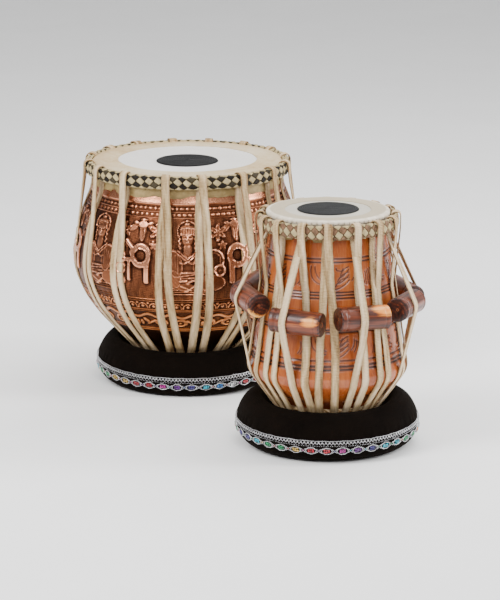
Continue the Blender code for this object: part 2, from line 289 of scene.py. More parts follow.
class Nodes:
    """Short ways to add shader nodes to a tree. Each gives the new node's output."""

    def __init__(self, tree):
        self.tree = tree

    def fill(self, sockets, values):
        for key, value in values.items():
            if isinstance(value, bpy.types.NodeSocket):
                self.tree.links.new(value, sockets[key])
            else:
                sockets[key].default_value = value

    def add(self, kind, inputs, output=0, **settings):
        made = self.tree.nodes.new("ShaderNode" + kind)
        for key, value in settings.items():
            setattr(made, key, value)
        self.fill(made.inputs, inputs)
        return made.outputs[output]

    def place(self):
        return self.add("TexCoord", {}, "Object")

    def attribute(self, name, output="Fac"):
        return self.add("Attribute", {}, output, attribute_name=name)

    def plus(self, a, b):
        return self.add("Math", {0: a, 1: b}, operation="ADD")

    def scaled(self, value, by, plus=0.0):
        return self.add("Math", {0: value, 1: by, 2: plus}, operation="MULTIPLY_ADD")

    def stretched(self, vector, *scale):
        return self.add("Mapping", {"Vector": vector, "Scale": scale})

    def noise(self, vector, scale, detail=3.0, roughness=0.55, distortion=0.0):
        looks = {"Scale": scale, "Detail": detail, "Roughness": roughness, "Distortion": distortion}
        return self.add("TexNoise", {"Vector": vector, **looks}, "Fac")

    def ramp(self, factor, *stops):
        """A ramp whose stops are each a position with a colour or a grey."""
        made = self.tree.nodes.new("ShaderNodeValToRGB")
        self.fill(made.inputs, {"Fac": factor})
        elements = made.color_ramp.elements
        while len(elements) < len(stops):
            elements.new(0.5)
        for element, (position, colour) in zip(elements, stops):
            element.position = position
            element.color = (*np.broadcast_to(colour, 3), 1.0)
        return made.outputs["Color"]

    def mixed(self, factor, first, second, blend="MIX"):
        inputs = {0: factor}
        for key, colour in ((6, first), (7, second)):
            inputs[key] = (*colour, 1.0) if isinstance(colour, tuple) else colour
        return self.add("Mix", inputs, 2, data_type="RGBA", blend_type=blend)

    def bump(self, height, distance, strength):
        return self.add("Bump", {"Height": height, "Distance": distance, "Strength": strength})


class Surface(Nodes):
    """A new material with the nodes of its look."""

    def __init__(self, name):
        self.material = bpy.data.materials.new(name)
        self.material.use_nodes = True
        super().__init__(self.material.node_tree)

    def finish(self, **looks):
        """The material with its shader's inputs set. The underscores in their names stand for spaces."""
        shader = self.tree.nodes["Principled BSDF"]
        self.fill(shader.inputs, {key.replace("_", " "): value for key, value in looks.items()})
        return self.material


# ---------------------------------------------------------------- materials


def copper():
    """Embossed copper: bright where it stands proud, dark brown in the ground, golden low down."""
    n = Surface("copper")
    at, proud = n.place(), n.attribute("proud")
    cloud, speck = n.noise(at, 38, 4), n.noise(at, 520, 3, 0.7)
    hidden = n.scaled(proud, -1.0, 1.05)
    worn = n.scaled(n.plus(cloud, -0.5), 0.42, proud)
    worn = n.scaled(n.scaled(n.plus(speck, -0.5), hidden), 0.62, worn)
    dark, brown = (0.020, 0.006, 0.003), (0.080, 0.027, 0.013)
    dull, bright = (0.24, 0.080, 0.036), (0.74, 0.32, 0.18)
    colour = n.ramp(worn, (0.05, dark), (0.28, brown), (0.55, dull), (0.95, bright))
    height = n.add("SeparateXYZ", {0: at}, 2)
    low = n.ramp(n.scaled(height, 4.0), (0.38, 0.75), (0.64, 0.0))
    return n.finish(
        Base_Color=n.mixed(low, colour, (1.0, 0.88, 0.42), "MULTIPLY"),
        Roughness=n.ramp(n.scaled(speck, 0.25, proud), (0.0, 0.52), (0.6, 0.36), (1.0, 0.22)),
        Normal=n.bump(n.noise(at, 620, 3, 0.6), 0.0005, 0.35),
        Metallic=1.0,
    )


def varnished_wood():
    """Orange-brown hardwood under varnish, with painted shade darkening the turned and carved lines."""
    n = Surface("varnished_wood")
    at, cut = n.place(), n.attribute("cut")
    grain = n.noise(n.stretched(at, 1.0, 1.0, 0.10), 95, 5, 0.6, 0.4)
    fine = n.noise(n.stretched(at, 1.0, 1.0, 0.04), 700, 3, 0.6)
    cloud = n.noise(n.stretched(at, 1.0, 1.0, 0.22), 24, 3)
    tone = n.scaled(fine, 0.30, n.scaled(cloud, 0.62, n.scaled(grain, 0.48)))
    dark, brown = (0.050, 0.009, 0.003), (0.15, 0.028, 0.006)
    red, orange = (0.32, 0.072, 0.014), (0.48, 0.145, 0.032)
    colour = n.ramp(tone, (0.38, dark), (0.54, brown), (0.70, red), (0.95, orange))
    return n.finish(
        # painted shade: the colour goes nearly black by the depth of the grooves and carvings
        Base_Color=n.mixed(cut, colour, (0.030, 0.010, 0.006)),
        Roughness=n.ramp(n.scaled(cloud, 0.3, cut), (0.0, 0.22), (1.0, 0.55)),
        Normal=n.bump(fine, 0.0002, 0.25),
        Specular_IOR_Level=0.35,
        Coat_Weight=0.3,
        Coat_Roughness=0.16,
    )


def rosewood():
    """Dark turned blocks with sapwood streaks and growth rings on their ends."""
    n = Surface("rosewood")
    local = n.attribute("local", "Vector")
    grain = n.noise(n.stretched(local, 1.0, 1.0, 0.07), 260, 4, 0.65, 0.6)
    cloud = n.noise(n.stretched(local, 1.0, 1.0, 0.30), 60, 3)
    growth = {"Vector": local, "Scale": 75, "Distortion": 3.5, "Detail": 3, "Detail Scale": 1.6}
    growth = n.add("TexWave", growth, "Fac", wave_type="RINGS", rings_direction="Z")
    ends = n.scaled(n.attribute("end"), n.scaled(growth, 0.12, -0.17))
    tone = n.plus(n.scaled(grain, 0.75, n.scaled(cloud, 0.35)), ends)
    dark, brown = (0.010, 0.003, 0.002), (0.050, 0.011, 0.005)
    red, tan = (0.16, 0.034, 0.012), (0.30, 0.08, 0.026)
    colour = n.ramp(tone, (0.32, dark), (0.48, brown), (0.64, red), (0.85, tan))
    sap = n.scaled(n.plus(grain, -0.5), 1.6, n.attribute("sap"))
    amber, honey = (0.74, 0.20, 0.018), (0.96, 0.58, 0.16)
    pale = n.ramp(n.scaled(cloud, 0.9, n.scaled(sap, 0.28)), (0.50, amber), (0.98, honey))
    colour = n.mixed(n.ramp(sap, (0.25, 0.0), (0.75, 1.0)), colour, pale)
    pith = n.attribute("pith")
    colour = n.mixed(n.ramp(pith, (0.10, 0.0), (0.35, 0.8), (0.62, 0.0)), colour, (0.45, 0.13, 0.05))
    return n.finish(
        Base_Color=n.mixed(n.ramp(pith, (0.62, 0.0), (0.80, 1.0)), colour, (0.012, 0.005, 0.004)),
        Roughness=n.ramp(grain, (0.3, 0.42), (0.8, 0.26)),
        Normal=n.bump(grain, 0.0003, 0.35),
        Specular_IOR_Level=0.4,
        Coat_Weight=0.12,
        Coat_Roughness=0.2,
    )


def rawhide():
    """Dry beige strap with the fine cross ridges that stretching leaves, and tan edges."""
    n = Surface("rawhide")
    run, across, shade = (n.attribute(name) for name in ("run", "across", "shade"))
    flat = n.add("CombineXYZ", {0: across, 1: run, 2: shade})
    ridges = {"Vector": n.stretched(flat, 1.4, 190.0, 9.0), "Scale": 1.0, "Distortion": 3.2, "Detail": 2}
    ridges = n.add("TexWave", ridges, "Fac", bands_direction="Y")
    fibres = n.noise(n.stretched(flat, 9.0, 90.0, 9.0), 1.6, 4, 0.6)
    blotch = n.noise(n.stretched(flat, 0.9, 21.0, 7.0), 1.0, 3)
    edge = n.ramp(n.add("Math", {0: across}, operation="ABSOLUTE"), (0.50, 0.0), (0.98, 1.0))
    tone = n.scaled(blotch, 1.25, n.scaled(fibres, 0.34, n.scaled(ridges, 0.20)))
    tone = n.scaled(shade, 0.30, n.plus(tone, -0.24))
    brown, tan = (0.15, 0.080, 0.028), (0.38, 0.240, 0.100)
    beige, cream = (0.58, 0.42, 0.225), (0.78, 0.61, 0.40)
    colour = n.ramp(tone, (0.40, brown), (0.56, tan), (0.74, beige), (1.00, cream))
    return n.finish(
        Base_Color=n.mixed(n.scaled(edge, 0.65), colour, (0.22, 0.105, 0.030)),
        Roughness=0.6,
        Normal=n.bump(n.scaled(ridges, 0.8, fibres), 0.0007, 0.7),
        Specular_IOR_Level=0.35,
    )


def skin(name, *stops, stain=None):
    """Scraped goat skin: faint fibres, clouds and mottling, and a tint that grows with its attribute: a dark
    stain on the bass drum's rim skin, a whiter rolled edge on the treble drum's, and on the skirt painted shade
    over its inner face and darkening towards its lower edge.
    """
    n = Surface(name)
    at = n.place()
    cloud, mottle = n.noise(at, 13, 3, 0.6), n.noise(at, 150, 4, 0.6)
    fibres = n.noise(n.stretched(at, 1.0, 0.35, 1.0), 480, 3, 0.6)
    tone = n.scaled(fibres, 0.16, n.scaled(mottle, 0.30, n.scaled(cloud, 0.60)))
    colour = n.ramp(tone, *stops)
    if stain:
        patches = n.ramp(n.noise(at, 90, 4, 0.65), (0.30, 0.45), (0.60, 1.0))
        colour = n.mixed(n.scaled(n.attribute("stain"), patches), colour, stain)
    relief = n.bump(fibres, 0.0002, 0.3)
    return n.finish(Base_Color=colour, Roughness=0.55, Normal=relief, Specular_IOR_Level=0.35)


def paste(name, dark, light):
    """Dried black paste, rubbed in rings."""
    n = Surface(name)
    speck = n.noise(n.place(), 900, 3, 0.7)
    tone = n.scaled(speck, 0.45, n.scaled(n.attribute("ring"), 0.6))
    return n.finish(
        Base_Color=n.ramp(tone, (0.2, dark), (0.85, light)),
        Roughness=n.ramp(tone, (0.2, 0.75), (0.9, 0.55)),
        Normal=n.bump(speck, 0.0003, 0.4),
        Specular_IOR_Level=0.14,
    )


def dimmed(colour, share):
    return tuple(channel * share for channel in colour)


def plaited(name, dark, pale):
    """Plaited hide strips in two colours: over says which lies on top; deep is 0 in the crevices, which painted
    shade darkens.
    """
    n = Surface(name)
    at = n.place()
    cloud, fine = n.noise(at, 190, 4, 0.6), n.noise(at, 1100, 3, 0.6)
    first = n.ramp(cloud, (0.3, dimmed(pale, 0.60)), (0.7, pale))
    second = n.ramp(cloud, (0.3, dimmed(dark, 0.45)), (0.7, dimmed(dark, 1.35)))
    colour = n.mixed(n.attribute("over"), second, first)
    # painted shade: the colour goes nearly black where deep is low, in the crevices between the strips
    crevice_shade = n.ramp(n.attribute("deep"), (0.16, 0.92), (0.62, 0.0))
    return n.finish(
        Base_Color=n.mixed(crevice_shade, colour, (0.008, 0.005, 0.003)),
        Roughness=0.62,
        Normal=n.bump(fine, 0.0003, 0.4),
        Specular_IOR_Level=0.2,
    )


def velvet():
    """Near-black brown pile that catches light at its edges."""
    n = Surface("velvet")
    at = n.place()
    pile, brushed = n.noise(at, 1500, 3, 0.7), n.noise(at, 34, 3, 0.6)
    tone = n.scaled(pile, 0.5, n.scaled(brushed, 0.6))
    return n.finish(
        Base_Color=n.ramp(tone, (0.3, (0.0012, 0.0008, 0.0006)), (0.85, (0.0060, 0.0036, 0.0022))),
        Roughness=0.95,
        Normal=n.bump(pile, 0.0006, 0.7),
        Specular_IOR_Level=0.05,
        Sheen_Weight=0.016,
        Sheen_Roughness=0.35,
        Sheen_Tint=(0.75, 0.50, 0.32, 1.0),
    )


def silver_thread():
    """Bright metallic thread."""
    n = Surface("silver_thread")
    twist = n.noise(n.place(), 1400, 3, 0.7)
    return n.finish(
        Base_Color=n.ramp(twist, (0.42, (0.10, 0.10, 0.11)), (0.56, (0.95, 0.95, 0.97))),
        Roughness=n.ramp(twist, (0.3, 0.45), (0.7, 0.24)),
        Normal=n.bump(twist, 0.0004, 0.5),
        Metallic=0.6,
    )


def glass_stone():
    """Foil-backed glass stones, each in its own colour."""
    n = Surface("glass_stone")
    sparkle = n.noise(n.place(), 900, 2, 0.6)
    glint = n.ramp(sparkle, (0.40, 0.0), (0.75, 0.15))
    return n.finish(
        Base_Color=n.mixed(glint, n.attribute("hue", "Vector"), (0.9, 0.9, 0.92), "SOFT_LIGHT"),
        Roughness=n.ramp(sparkle, (0.3, 0.10), (0.8, 0.28)),
        Metallic=0.35,
        Coat_Weight=1.0,
    )


def floor_paper():
    n = Surface("floor_paper")
    return n.finish(Base_Color=n.ramp(n.noise(n.place(), 6, 3), (0.3, 0.94), (0.7, 0.97)), Roughness=0.9)


COPPER = copper()
WOOD = varnished_wood()
ROSEWOOD = rosewood()
RAWHIDE = rawhide()
VELVET = velvet()
SILVER = silver_thread()
STONE = glass_stone()
MAIN_SKIN = skin("main_skin", (0.3, (0.65, 0.62, 0.58)), (0.7, (0.78, 0.75, 0.71)))
CREAM_SKIN = skin(
    "cream_skin",
    (0.36, (0.42, 0.27, 0.11)),
    (0.50, (0.57, 0.43, 0.24)),
    (0.62, (0.64, 0.53, 0.36)),
    stain=(0.40, 0.25, 0.09),
)
PALE_SKIN = skin("pale_skin", (0.3, (0.42, 0.345, 0.235)), (0.7, (0.50, 0.42, 0.295)), stain=(0.82, 0.74, 0.61))
GREY_SKIN = skin("grey_skin", (0.3, (0.46, 0.43, 0.355)), (0.7, (0.55, 0.51, 0.43)))
SKIRT_SKIN = skin(
    "skirt_skin",
    (0.36, (0.22, 0.13, 0.035)),
    (0.50, (0.36, 0.25, 0.09)),
    (0.64, (0.54, 0.40, 0.18)),
    # the tint colour, which also paints shade on the skirt's inner face
    stain=(0.14, 0.085, 0.025),
)

# ---------------------------------------------------------------- the two drums


def drum(side, **facts):
    axis = sum(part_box(f"{side}_shell"), Vector()) / 2
    return SimpleNamespace(side=side, body=f"{side}_drum", x=axis.x, **facts)


# tops are the heights of the main skin, the rim skin and the black spot; row is a row of lozenges'
# middle height and half its own height; spread tables give how far a strap's passes lie from its loop,
# as (height, degrees).
BAYAN = drum(
    "bayan",
    wall=spline(BAYAN_OUTLINE, 12),
    hoop=SimpleNamespace(inner=0.1185, outer=0.1282, bottom=0.2640, top=0.2806),
    ring=((0.0598, 0.0362), 0.0024),
    skin_edge=0.1184,
    chanti=0.0863,
    spot_radius=0.0385,
    spot_offset=0.0135,
    tops=(0.2789, 0.2797, 0.2812),
    skins=(SKIRT_SKIN, MAIN_SKIN, CREAM_SKIN),
    paste=paste("black_paste", (0.003, 0.003, 0.003), (0.012, 0.012, 0.0125)),
    paste_slot="tuning_paste",
    skirt_drop=0.0112,
    stain_width=(0.024, 0.022),
    holes=0,
    seed=5,
    plait=plaited("black_plait", (0.010, 0.006, 0.003), (0.55, 0.43, 0.22)),
    plait_slot="black_braid",
    cells=66,
    row=(0.2735, 0.0053),
    phase=0.5,
    strap=0.0102,
    first_deg=-18.5,
    shifts_deg=[-1.1, 0.3, 1.5, -0.1, -0.2, 0.1, 0.3, 0.5, 0.0, 0.4, -0.1, 0.4, -0.7, -2.5, -1.8, 1.3],
    spread=[(0.2640, 0.2), (0.2250, 1.7), (0.1570, 2.3), (0.0600, 4.2), (0.0380, 5.6)],
    inner_spread=[(0.2600, 0.6), (0.2250, 2.0), (0.1570, 2.4), (0.0600, 4.2), (0.0380, 5.6)],
)
DAYAN = drum(
    "dayan",
    wall=np.vstack([spline(DAYAN_OUTLINE, 12), resample([DAYAN_OUTLINE[-1], DAYAN_NECK], 0.003)[1:]]),
    hoop=SimpleNamespace(inner=0.0748, outer=0.0828, bottom=0.2582, top=0.2752),
    ring=((0.0636, 0.0528), 0.0022),
    skin_edge=0.0724,
    chanti=0.0503,
    spot_radius=0.0360,
    spot_offset=0.0,
    tops=(0.2786, 0.2794, 0.2809),
    skins=(SKIRT_SKIN, GREY_SKIN, PALE_SKIN),
    paste=paste("grey_paste", (0.005, 0.005, 0.005), (0.024, 0.0245, 0.0255)),
    paste_slot="grey_tuning_paste",
    skirt_drop=0.0042,
    stain_width=(0.0060, 0.0020),
    holes=72,
    seed=77,
    plait=plaited("brown_plait", (0.175, 0.092, 0.050), (0.52, 0.41, 0.21)),
    plait_slot="brown_braid",
    cells=49,
    row=(0.2710, 0.0061),
    phase=0.0,
    strap=0.0094,
    first_deg=-28.2,
    shifts_deg=[-1.6, -0.1, -1.2, -0.6, -0.3, 0.5, -0.6, 0.1, -0.4, -0.1, 0.5, -0.2, -0.1, -0.5, -2.0, -0.9],
    spread=[(0.2550, 0.1), (0.2080, 1.6), (0.1740, 3.2), (0.1300, 4.4), (0.0920, 4.2), (0.0560, 5.2)],
    inner_spread=[(0.2550, 1.2), (0.2080, 2.4), (0.1700, 3.2), (0.1400, 4.2), (0.0920, 4.6), (0.0560, 5.6)],
)


# ---------------------------------------------------------------- shapes for embossing, in millimetres


def across_oval(x, y, at, size, turn_deg):
    """Where points lie along and across an oval, as shares of its half sizes."""
    turn = math.radians(turn_deg)
    dx, dy = x - at[0], y - at[1]
    along = (dx * math.cos(turn) + dy * math.sin(turn)) / size[0]
    over = (dy * math.cos(turn) - dx * math.sin(turn)) / size[1]
    return along, over


def dome(x, y, at, size, height, turn_deg=0.0):
    along, over = across_oval(x, y, at, size, turn_deg)
    return height * np.sqrt(np.clip(1 - along**2 - over**2, 0, 1))


def plate(x, y, at, size, height, turn_deg=0.0):
    """A flat raised oval with steep sides."""
    return height * np.clip(dome(x, y, at, size, 1.0, turn_deg) * 3.0, 0, 1)


def rounded(distance, width, height):
    return height * np.sqrt(np.clip(1 - (distance / width) ** 2, 0, 1))


def oval_line(x, y, at, size, width, height, turn_deg=0.0):
    along, over = across_oval(x, y, at, size, turn_deg)
    return rounded(np.abs(np.hypot(along, over) - 1) * min(size), width, height)


def circle_line(x, y, at, radius, width, height, above=-math.inf):
    """A raised circle, or the part of it above a height."""
    found = rounded(np.abs(np.hypot(x - at[0], y - at[1]) - radius), width, height)
    return np.where(y > above, found, 0)


def from_segment(x, y, a, b):
    """How far points lie from the segment between a and b."""
    ax, ay = b[0] - a[0], b[1] - a[1]
    share = np.clip(((x - a[0]) * ax + (y - a[1]) * ay) / (ax * ax + ay * ay), 0, 1)
    return np.hypot(x - a[0] - share * ax, y - a[1] - share * ay)


def limb(x, y, a, b, width, height):
    return rounded(from_segment(x, y, a, b), width, height)


def level(x, y, at, width, height):
    """A raised line round the drum."""
    return rounded(np.abs(y - at), width, height)


def highest(*layers):
    found = layers[0]
    for layer in layers[1:]:
        found = np.maximum(found, layer)
    return found


def drawn(x, y, shapes):
    """The highest of several shapes, each given as its function and its numbers."""
    return highest(*(shape(x, y, *numbers) for shape, *numbers in shapes))


# ---------------------------------------------------------------- reliefs on the copper

# The seated drummer. x is from the figure's middle. The lists named for sides are mirrored about it.
FACE_SIDES = [
    (dome, (2.9, 207.0), (2.2, 1.3), -1.0),
    (dome, (2.9, 206.7), (1.3, 0.7), 0.9),
    (limb, (1.3, 209.3), (4.6, 209.0), 0.6, 0.6),
    (limb, (0, 208.0), (0, 204.0), 0.9, 1.0),
    (dome, (0, 203.6), (1.5, 0.9), 0.5),
    (limb, (0, 201.4), (1.6, 201.4), 0.7, 0.6),
]
TURBAN_EDGES = [(limb, (-9.2, low), (9.2, low), 0.8, 2.2) for low in (209.6, 216.6)]
FOLDS = ((164.4, 0.6), (160.2, 2.8), (157.6, 1.0))  # each one's height and lean
DRESS = [
    (plate, (0, 171), (15.0, 20), 0.6),
    *((limb, (-9.5, low), (9.5, low + lean), 0.9, 1.9) for low, lean in FOLDS),
    (oval_line, (-18.4, 156.4), (9.2, 11.0), 0.5, 1.7, 14),
    (plate, (27.0, 151.5), (18, 9.6), 1.1),
    (oval_line, (27.0, 151.5), (18.2, 9.8), 0.5, 1.5),
    (plate, (-3, 146.5), (11, 6.0), 0.9),
    *((limb, (-26, low), (30, low), 0.6, 1.5) for low in (137.0, 139.8, 143.2)),
]
DRESS_SIDES = [
    (plate, (16.0, 175.5), (8.4, 16.0), 1.0, -11),
    (oval_line, (16.0, 175.5), (8.6, 16.2), 0.5, 1.7, -11),
    *((limb, (12 + 3 * k, 188 - 2 * k), (12.5 + 3.4 * k, 165 + k), 0.5, 1.65) for k in range(4)),
]
OVER_DRESS = [
    (dome, (0, 226.2), (1.2, 1.6), 2.2),
    (dome, (0, 222.6), (3.6, 1.8), 1.8),
    (circle_line, (0, 213.5), 12.6, 0.8, 1.5, 209),
    (limb, (-9.5, 154.4), (-1.5, 154.8), 1.5, 2.1),
    (limb, (9.5, 155.8), (1.5, 154.0), 1.5, 2.1),
    (dome, (0, 151.6), (3.6, 2.0), 1.9),
    (limb, (-9, 148.4), (4, 143.0), 1.3, 2.0),
    (limb, (8, 148.4), (0, 142.6), 1.3, 2.0),
    (dome, (-2, 141.5), (3.4, 1.8), 2.1),
    (circle_line, (39.5, 166.5), 6.4, 1.2, 2.4),
    (plate, (39.5, 166.5), (5.6, 5.6), 0.8),
    (dome, (39.5, 166.5), (1.6, 1.6), 1.6),
]
OVER_DRESS_SIDES = [
    *((dome, (9.3 + 1.2 * (k % 2), 194.5 + 2.7 * k), (1.4, 1.4), 1.5) for k in range(6)),
    *((limb, (12.5, 191.5 - low), (0, 181.0 - low), 0.9, 2.6 - 0.2 * low) for low in (0, 3.4)),
]
DRUM_HANDLE = [
    (circle_line, (31.0, 178.5), 13.0, 1.3, 2.2, 171),
    (circle_line, (31.0, 178.5), 9.8, 0.6, 1.3, 173),
]
YOKE = (5.6, 182.5), 6.6, 0.7, 2.3


def ribs(x, pitch):
    return 0.78 + 0.22 * np.cos(x * pitch)


def musician(x, y):
    """A seated drummer in a ribbed turban, with crossed legs."""
    side = np.abs(x)
    head = dome(x, y, (0, 205.6), (7.6, 8.6), 2.1)
    features = sum(shape(side, y, *numbers) for shape, *numbers in FACE_SIDES)
    face = np.where(head > 0, head + features, 0)
    beard = np.where(y < 201.5, dome(x, y, (0, 191.5), (5.6, 11.0), 2.3) * ribs(x, 3.1), 0)
    bend = 0.018 * x**2
    band = 1.7 * np.clip((9.6 - side) / 1.6, 0, 1) ** 0.5 * ribs(x, 4.2) * (np.abs(y - 214.6 + bend) < 3.3)
    edges = drawn(x, y - 0.018 * 81 + bend, TURBAN_EDGES)
    crown = np.where(y > 217.4, dome(x, y, (0, 217.4), (9.0, 4.2), 1.5), 0)
    yoke = highest(circle_line(x, y, *YOKE), circle_line(-x, y, *YOKE)) * (y < 178.6)
    handle = np.where(x > 24, drawn(x, y, DRUM_HANDLE), 0)
    weave = 0.88 + 0.12 * np.cos((x * 0.75 + y * 0.66) * 1.9)
    cushion = plate(x, y, (-18.4, 156.4), (8.6, 10.4), 1.2, 14) * weave
    chest = np.where((side < 10.2) & (y < 176) & (y > 165.5), -0.25, 0)
    dress = highest(cushion, drawn(x, y, DRESS), drawn(side, y, DRESS_SIDES)) + chest
    over = highest(drawn(x, y, OVER_DRESS), drawn(side, y, OVER_DRESS_SIDES))
    return highest(face, beard, band, edges, crown, dress, over, yoke, handle)


# The niche's bars: both ends, from its middle, and half the width.
NICHE_BARS = [
    ((8.6, 182.0), (8.4, 153.0), 3.9),
    ((-15.0, 178.0), (-15.0, 154.0), 2.8),
    ((-9.0, 178.5), (-23.5, 176.8), 2.9),
    ((-9.5, 189.5), (-20.0, 200.0), 2.9),
    ((-9.0, 181.0), (-12.0, 187.0), 4.0),
]
NICHE_SHIFT_MM = 3.2


def niche(x, y):
    """A flat horseshoe arch with one leg on its rim and crossed arms beside it, under a hanging bud."""
    side = np.abs(x)
    from_eye = np.hypot(x, (y - 183.4) * 0.90)
    flat = np.clip((3.4 - np.abs(from_eye - 10.6)) / 0.9, 0, 1)
    for a, b, width in NICHE_BARS:
        flat = np.maximum(flat, np.clip((width - from_segment(x, y, a, b)) / 0.9, 0, 1))
    flat = 2.5 * np.where(from_eye < 7.2, 0, flat)
    bead = circle_line(x, y, (0, 183.4), 8.0, 0.6, 3.1)
    bud = np.where(y < 217, plate(x, y, (0, 216), (4.6, 15.5), 1.9) * (0.80 + 0.20 * np.cos(side * 2.4)), 0)
    calyx = np.maximum(plate(x, y, (0, 220.5), (6.6, 4.4), 1.9), dome(x, y, (0, 226.0), (5.0, 1.9), 2.2))
    leaf = plate(side, y, (12.5, 216.5), (7.4, 3.3), 1.3, -34) * (0.80 + 0.20 * np.cos((side + y) * 1.7))
    leaf_tip = plate(side, y, (9.2, 222.0), (4.0, 1.9), 1.5, 10)
    return highest(flat, bead, bud, calyx, leaf, leaf_tip)


def blossom(x, y, at, petals, radius, height):
    """A flower of outlined petals round a knob."""
    found = dome(x, y, at, (0.20 * radius, 0.20 * radius), height)
    size = (radius * 0.40, radius * 0.20)
    for petal in range(petals):
        turn_deg = 360 * petal / petals + 90
        turn = math.radians(turn_deg)
        middle = (at[0] + math.cos(turn) * radius * 0.62, at[1] + math.sin(turn) * radius * 0.62)
        leaf = plate(x, y, middle, size, 0.45 * height, turn_deg)
        found = highest(found, leaf, oval_line(x, y, middle, size, 0.55, 0.9 * height, turn_deg))
    return found


FIGURES = 7
BEADS = 58
SCROLLS = 18


def around_mm(angles, copies, radius, shift=0.0):
    """How far round, in millimetres, each angle lies from the nearest of several evenly spaced places."""
    turn = (angles / (2 * math.pi) * copies - shift + 0.5) % 1.0 - 0.5
    return turn * 2 * math.pi / copies * radius / MM


def panel_relief(angles, radius, y):
    """The figure panel: drummers with doorways and blossoms between them."""
    x = around_mm(angles, FIGURES, radius)
    far = around_mm(angles, FIGURES, radius, 0.5)
    side = np.abs(x)
    flowers = blossom(side, y, (37.0, 212.0), 6, 9.5, 2.0)
    stars = blossom(side, y, (43.0, 196.5), 5, 4.6, 1.3)
    mirrored = np.where(np.sin(angles) > 0, -far, far - NICHE_SHIFT_MM)
    return highest(musician(x, y), niche(mirrored, y), flowers, stars)


def upper_relief(angles, radius, y):
    """Two bead rows under a plain rolled band."""
    x = around_mm(angles, BEADS, radius)
    diamonds = np.clip(2.7 - (np.abs(x) + np.abs(y - 240.0)), 0, 1.1)
    petals = dome(around_mm(angles, BEADS, radius, 0.5), y, (0, 240.0), (3.0, 1.4), 1.0)
    beads = dome(around_mm(angles, 2 * BEADS, radius, 0.5), y, (0, 233.0), (2.6, 2.2), 1.1)
    lines = drawn(x, y, [(level, at, 0.7, 1.0) for at in (243.6, 236.4, 229.6)])
    band = 2.0 * np.clip((y - 243.8) / 1.4, 0, 1)
    return highest(lines, diamonds, petals, beads, band, level(x, y, 257.0, 1.0, 2.4))


def lower_relief(angles, radius, y):
    """A scalloped border over a wide band of scrolls."""
    x = around_mm(angles, BEADS, radius)
    lines = drawn(x, y, [(level, at, 0.8, 1.0) for at in (129.3, 126.2, 114.4, 112.0, 87.0, 84.4)])
    scallops = circle_line(x, y, (0, 117.2), 6.0, 0.8, 1.5, 116.0)
    drops = dome(x, y, (0, 119.6), (2.4, 2.2), 1.5)
    high_drops = dome(around_mm(angles, BEADS, radius, 0.5), y, (0, 123.4), (2.0, 1.6), 1.4)
    flip = np.where((angles / (2 * math.pi) * SCROLLS + 0.5) % 2.0 < 1.0, 1.0, -1.0)
    u = around_mm(angles, SCROLLS, radius) * flip
    v = (y - 99.5) / 0.88
    wave = np.clip((2.6 - np.abs(v - 6.8 - 2.6 * np.sin(u * 0.22))) / 0.8, 0, 1) * 1.4
    curl = plate(u, v, (-8.0, -3.5), (8.4, 6.4), 1.5) - 1.1 * (np.hypot((u + 9.4) / 4.6, (v + 4.4) / 3.4) < 1)
    scroll = [
        (dome, (-9.4, -4.4), (2.4, 2.0), 1.5),
        (limb, (-1.0, -0.5), (9.0, -6.5), 2.2, 1.6),
        (plate, (11.0, -1.0), (5.6, 2.6), 1.5, 48),
        (plate, (17.5, -5.0), (4.6, 2.4), 1.4, 80),
    ]
    return highest(lines, scallops, drops, high_drops, wave, curl, drawn(u, v, scroll))


def no_relief(angles, radius, y):
    return 0 * y


def chased(angles, heights):
    """The punched ground between the figures: a close uneven stipple."""
    a, h = angles * 142, heights / MM
    waves = np.sin(a * 2.3 + 1.7 * np.sin(h * 1.9)) * np.sin(h * 2.1 + 1.3 * np.sin(a * 1.7))
    return waves + 0.6 * np.sin(a * 3.7 + h * 2.9 + 2.0 * np.sin(a * 0.61))


def blurred(field, reach=3):
    """The mean of a field over a square window that wraps round the drum."""
    padded = np.pad(field, ((reach, reach), (0, 0)), mode="edge")
    rows = sum(padded[row : row + len(field)] for row in range(2 * reach + 1))
    return sum(np.roll(rows, step, axis=1) for step in range(-reach, reach + 1)) / (2 * reach + 1) ** 2


COPPER_COLUMNS = 840
COPPER_WALL = 0.0024
FIGURE_TURN = math.radians(1.1)  # from the side that faces the camera to the middle of the first figure
HIDDEN_POLISH = 0.2
# Each section's heights, relief, depth of the stipple in millimetres, and polish.
COPPER_SECTIONS = {
    "rim": (0.2285, 0.2755, upper_relief, 0.0, 0.40),
    "panel": (0.1302, 0.2285, panel_relief, 0.17, 0.33),
    "border": (0.0835, 0.1302, lower_relief, 0.06, 0.30),
    "foot": (0.0250, 0.0835, no_relief, 0.0, 0.10),
}


def copper_piece(name, points, proud):
    quads = grid(*points.shape[:2], True)
    piece(f"bayan_shell_{name}", points, quads, BAYAN.body, COPPER, "copper", "bayan_shell", proud=proud)


def copper_section(name, low, high, relief, ground, polish):
    """One turned stretch of the copper wall, closed by its own inner face."""
    spacing = 0.003 if relief is no_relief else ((1.05 * MM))
    outline = wall_between(BAYAN.wall, low, high, spacing)
    angles = turns(COPPER_COLUMNS) - FIGURE_TURN
    y = outline[:, 1:] / MM + 0 * angles
    raised_mm = relief(angles + 0 * y, outline[:, :1], y)
    stipple = chased(angles, outline[:, 1:]) * np.clip(1 - np.abs(raised_mm) / 0.4, 0, 1)
    total = (raised_mm * 0.85 + ground * stipple) * MM
    points = embossed(outline, COPPER_COLUMNS, BAYAN.x, total, FACING_DEG)
    inside = resample(offset(outline, -COPPER_WALL), np.ptp(outline[:, 1]) / 5)[::-1]
    points = np.concatenate([points, spun(inside, COPPER_COLUMNS, BAYAN.x, FACING_DEG)])
    stands_out = 0.40 * (raised_mm - blurred(raised_mm))
    proud = np.clip(polish + 0.17 * raised_mm + stands_out, -0.05, 0.97) + 0.15 * stipple * (ground > 0)
    copper_piece(name, points, np.concatenate([proud, np.full((len(inside), COPPER_COLUMNS), HIDDEN_POLISH)]))


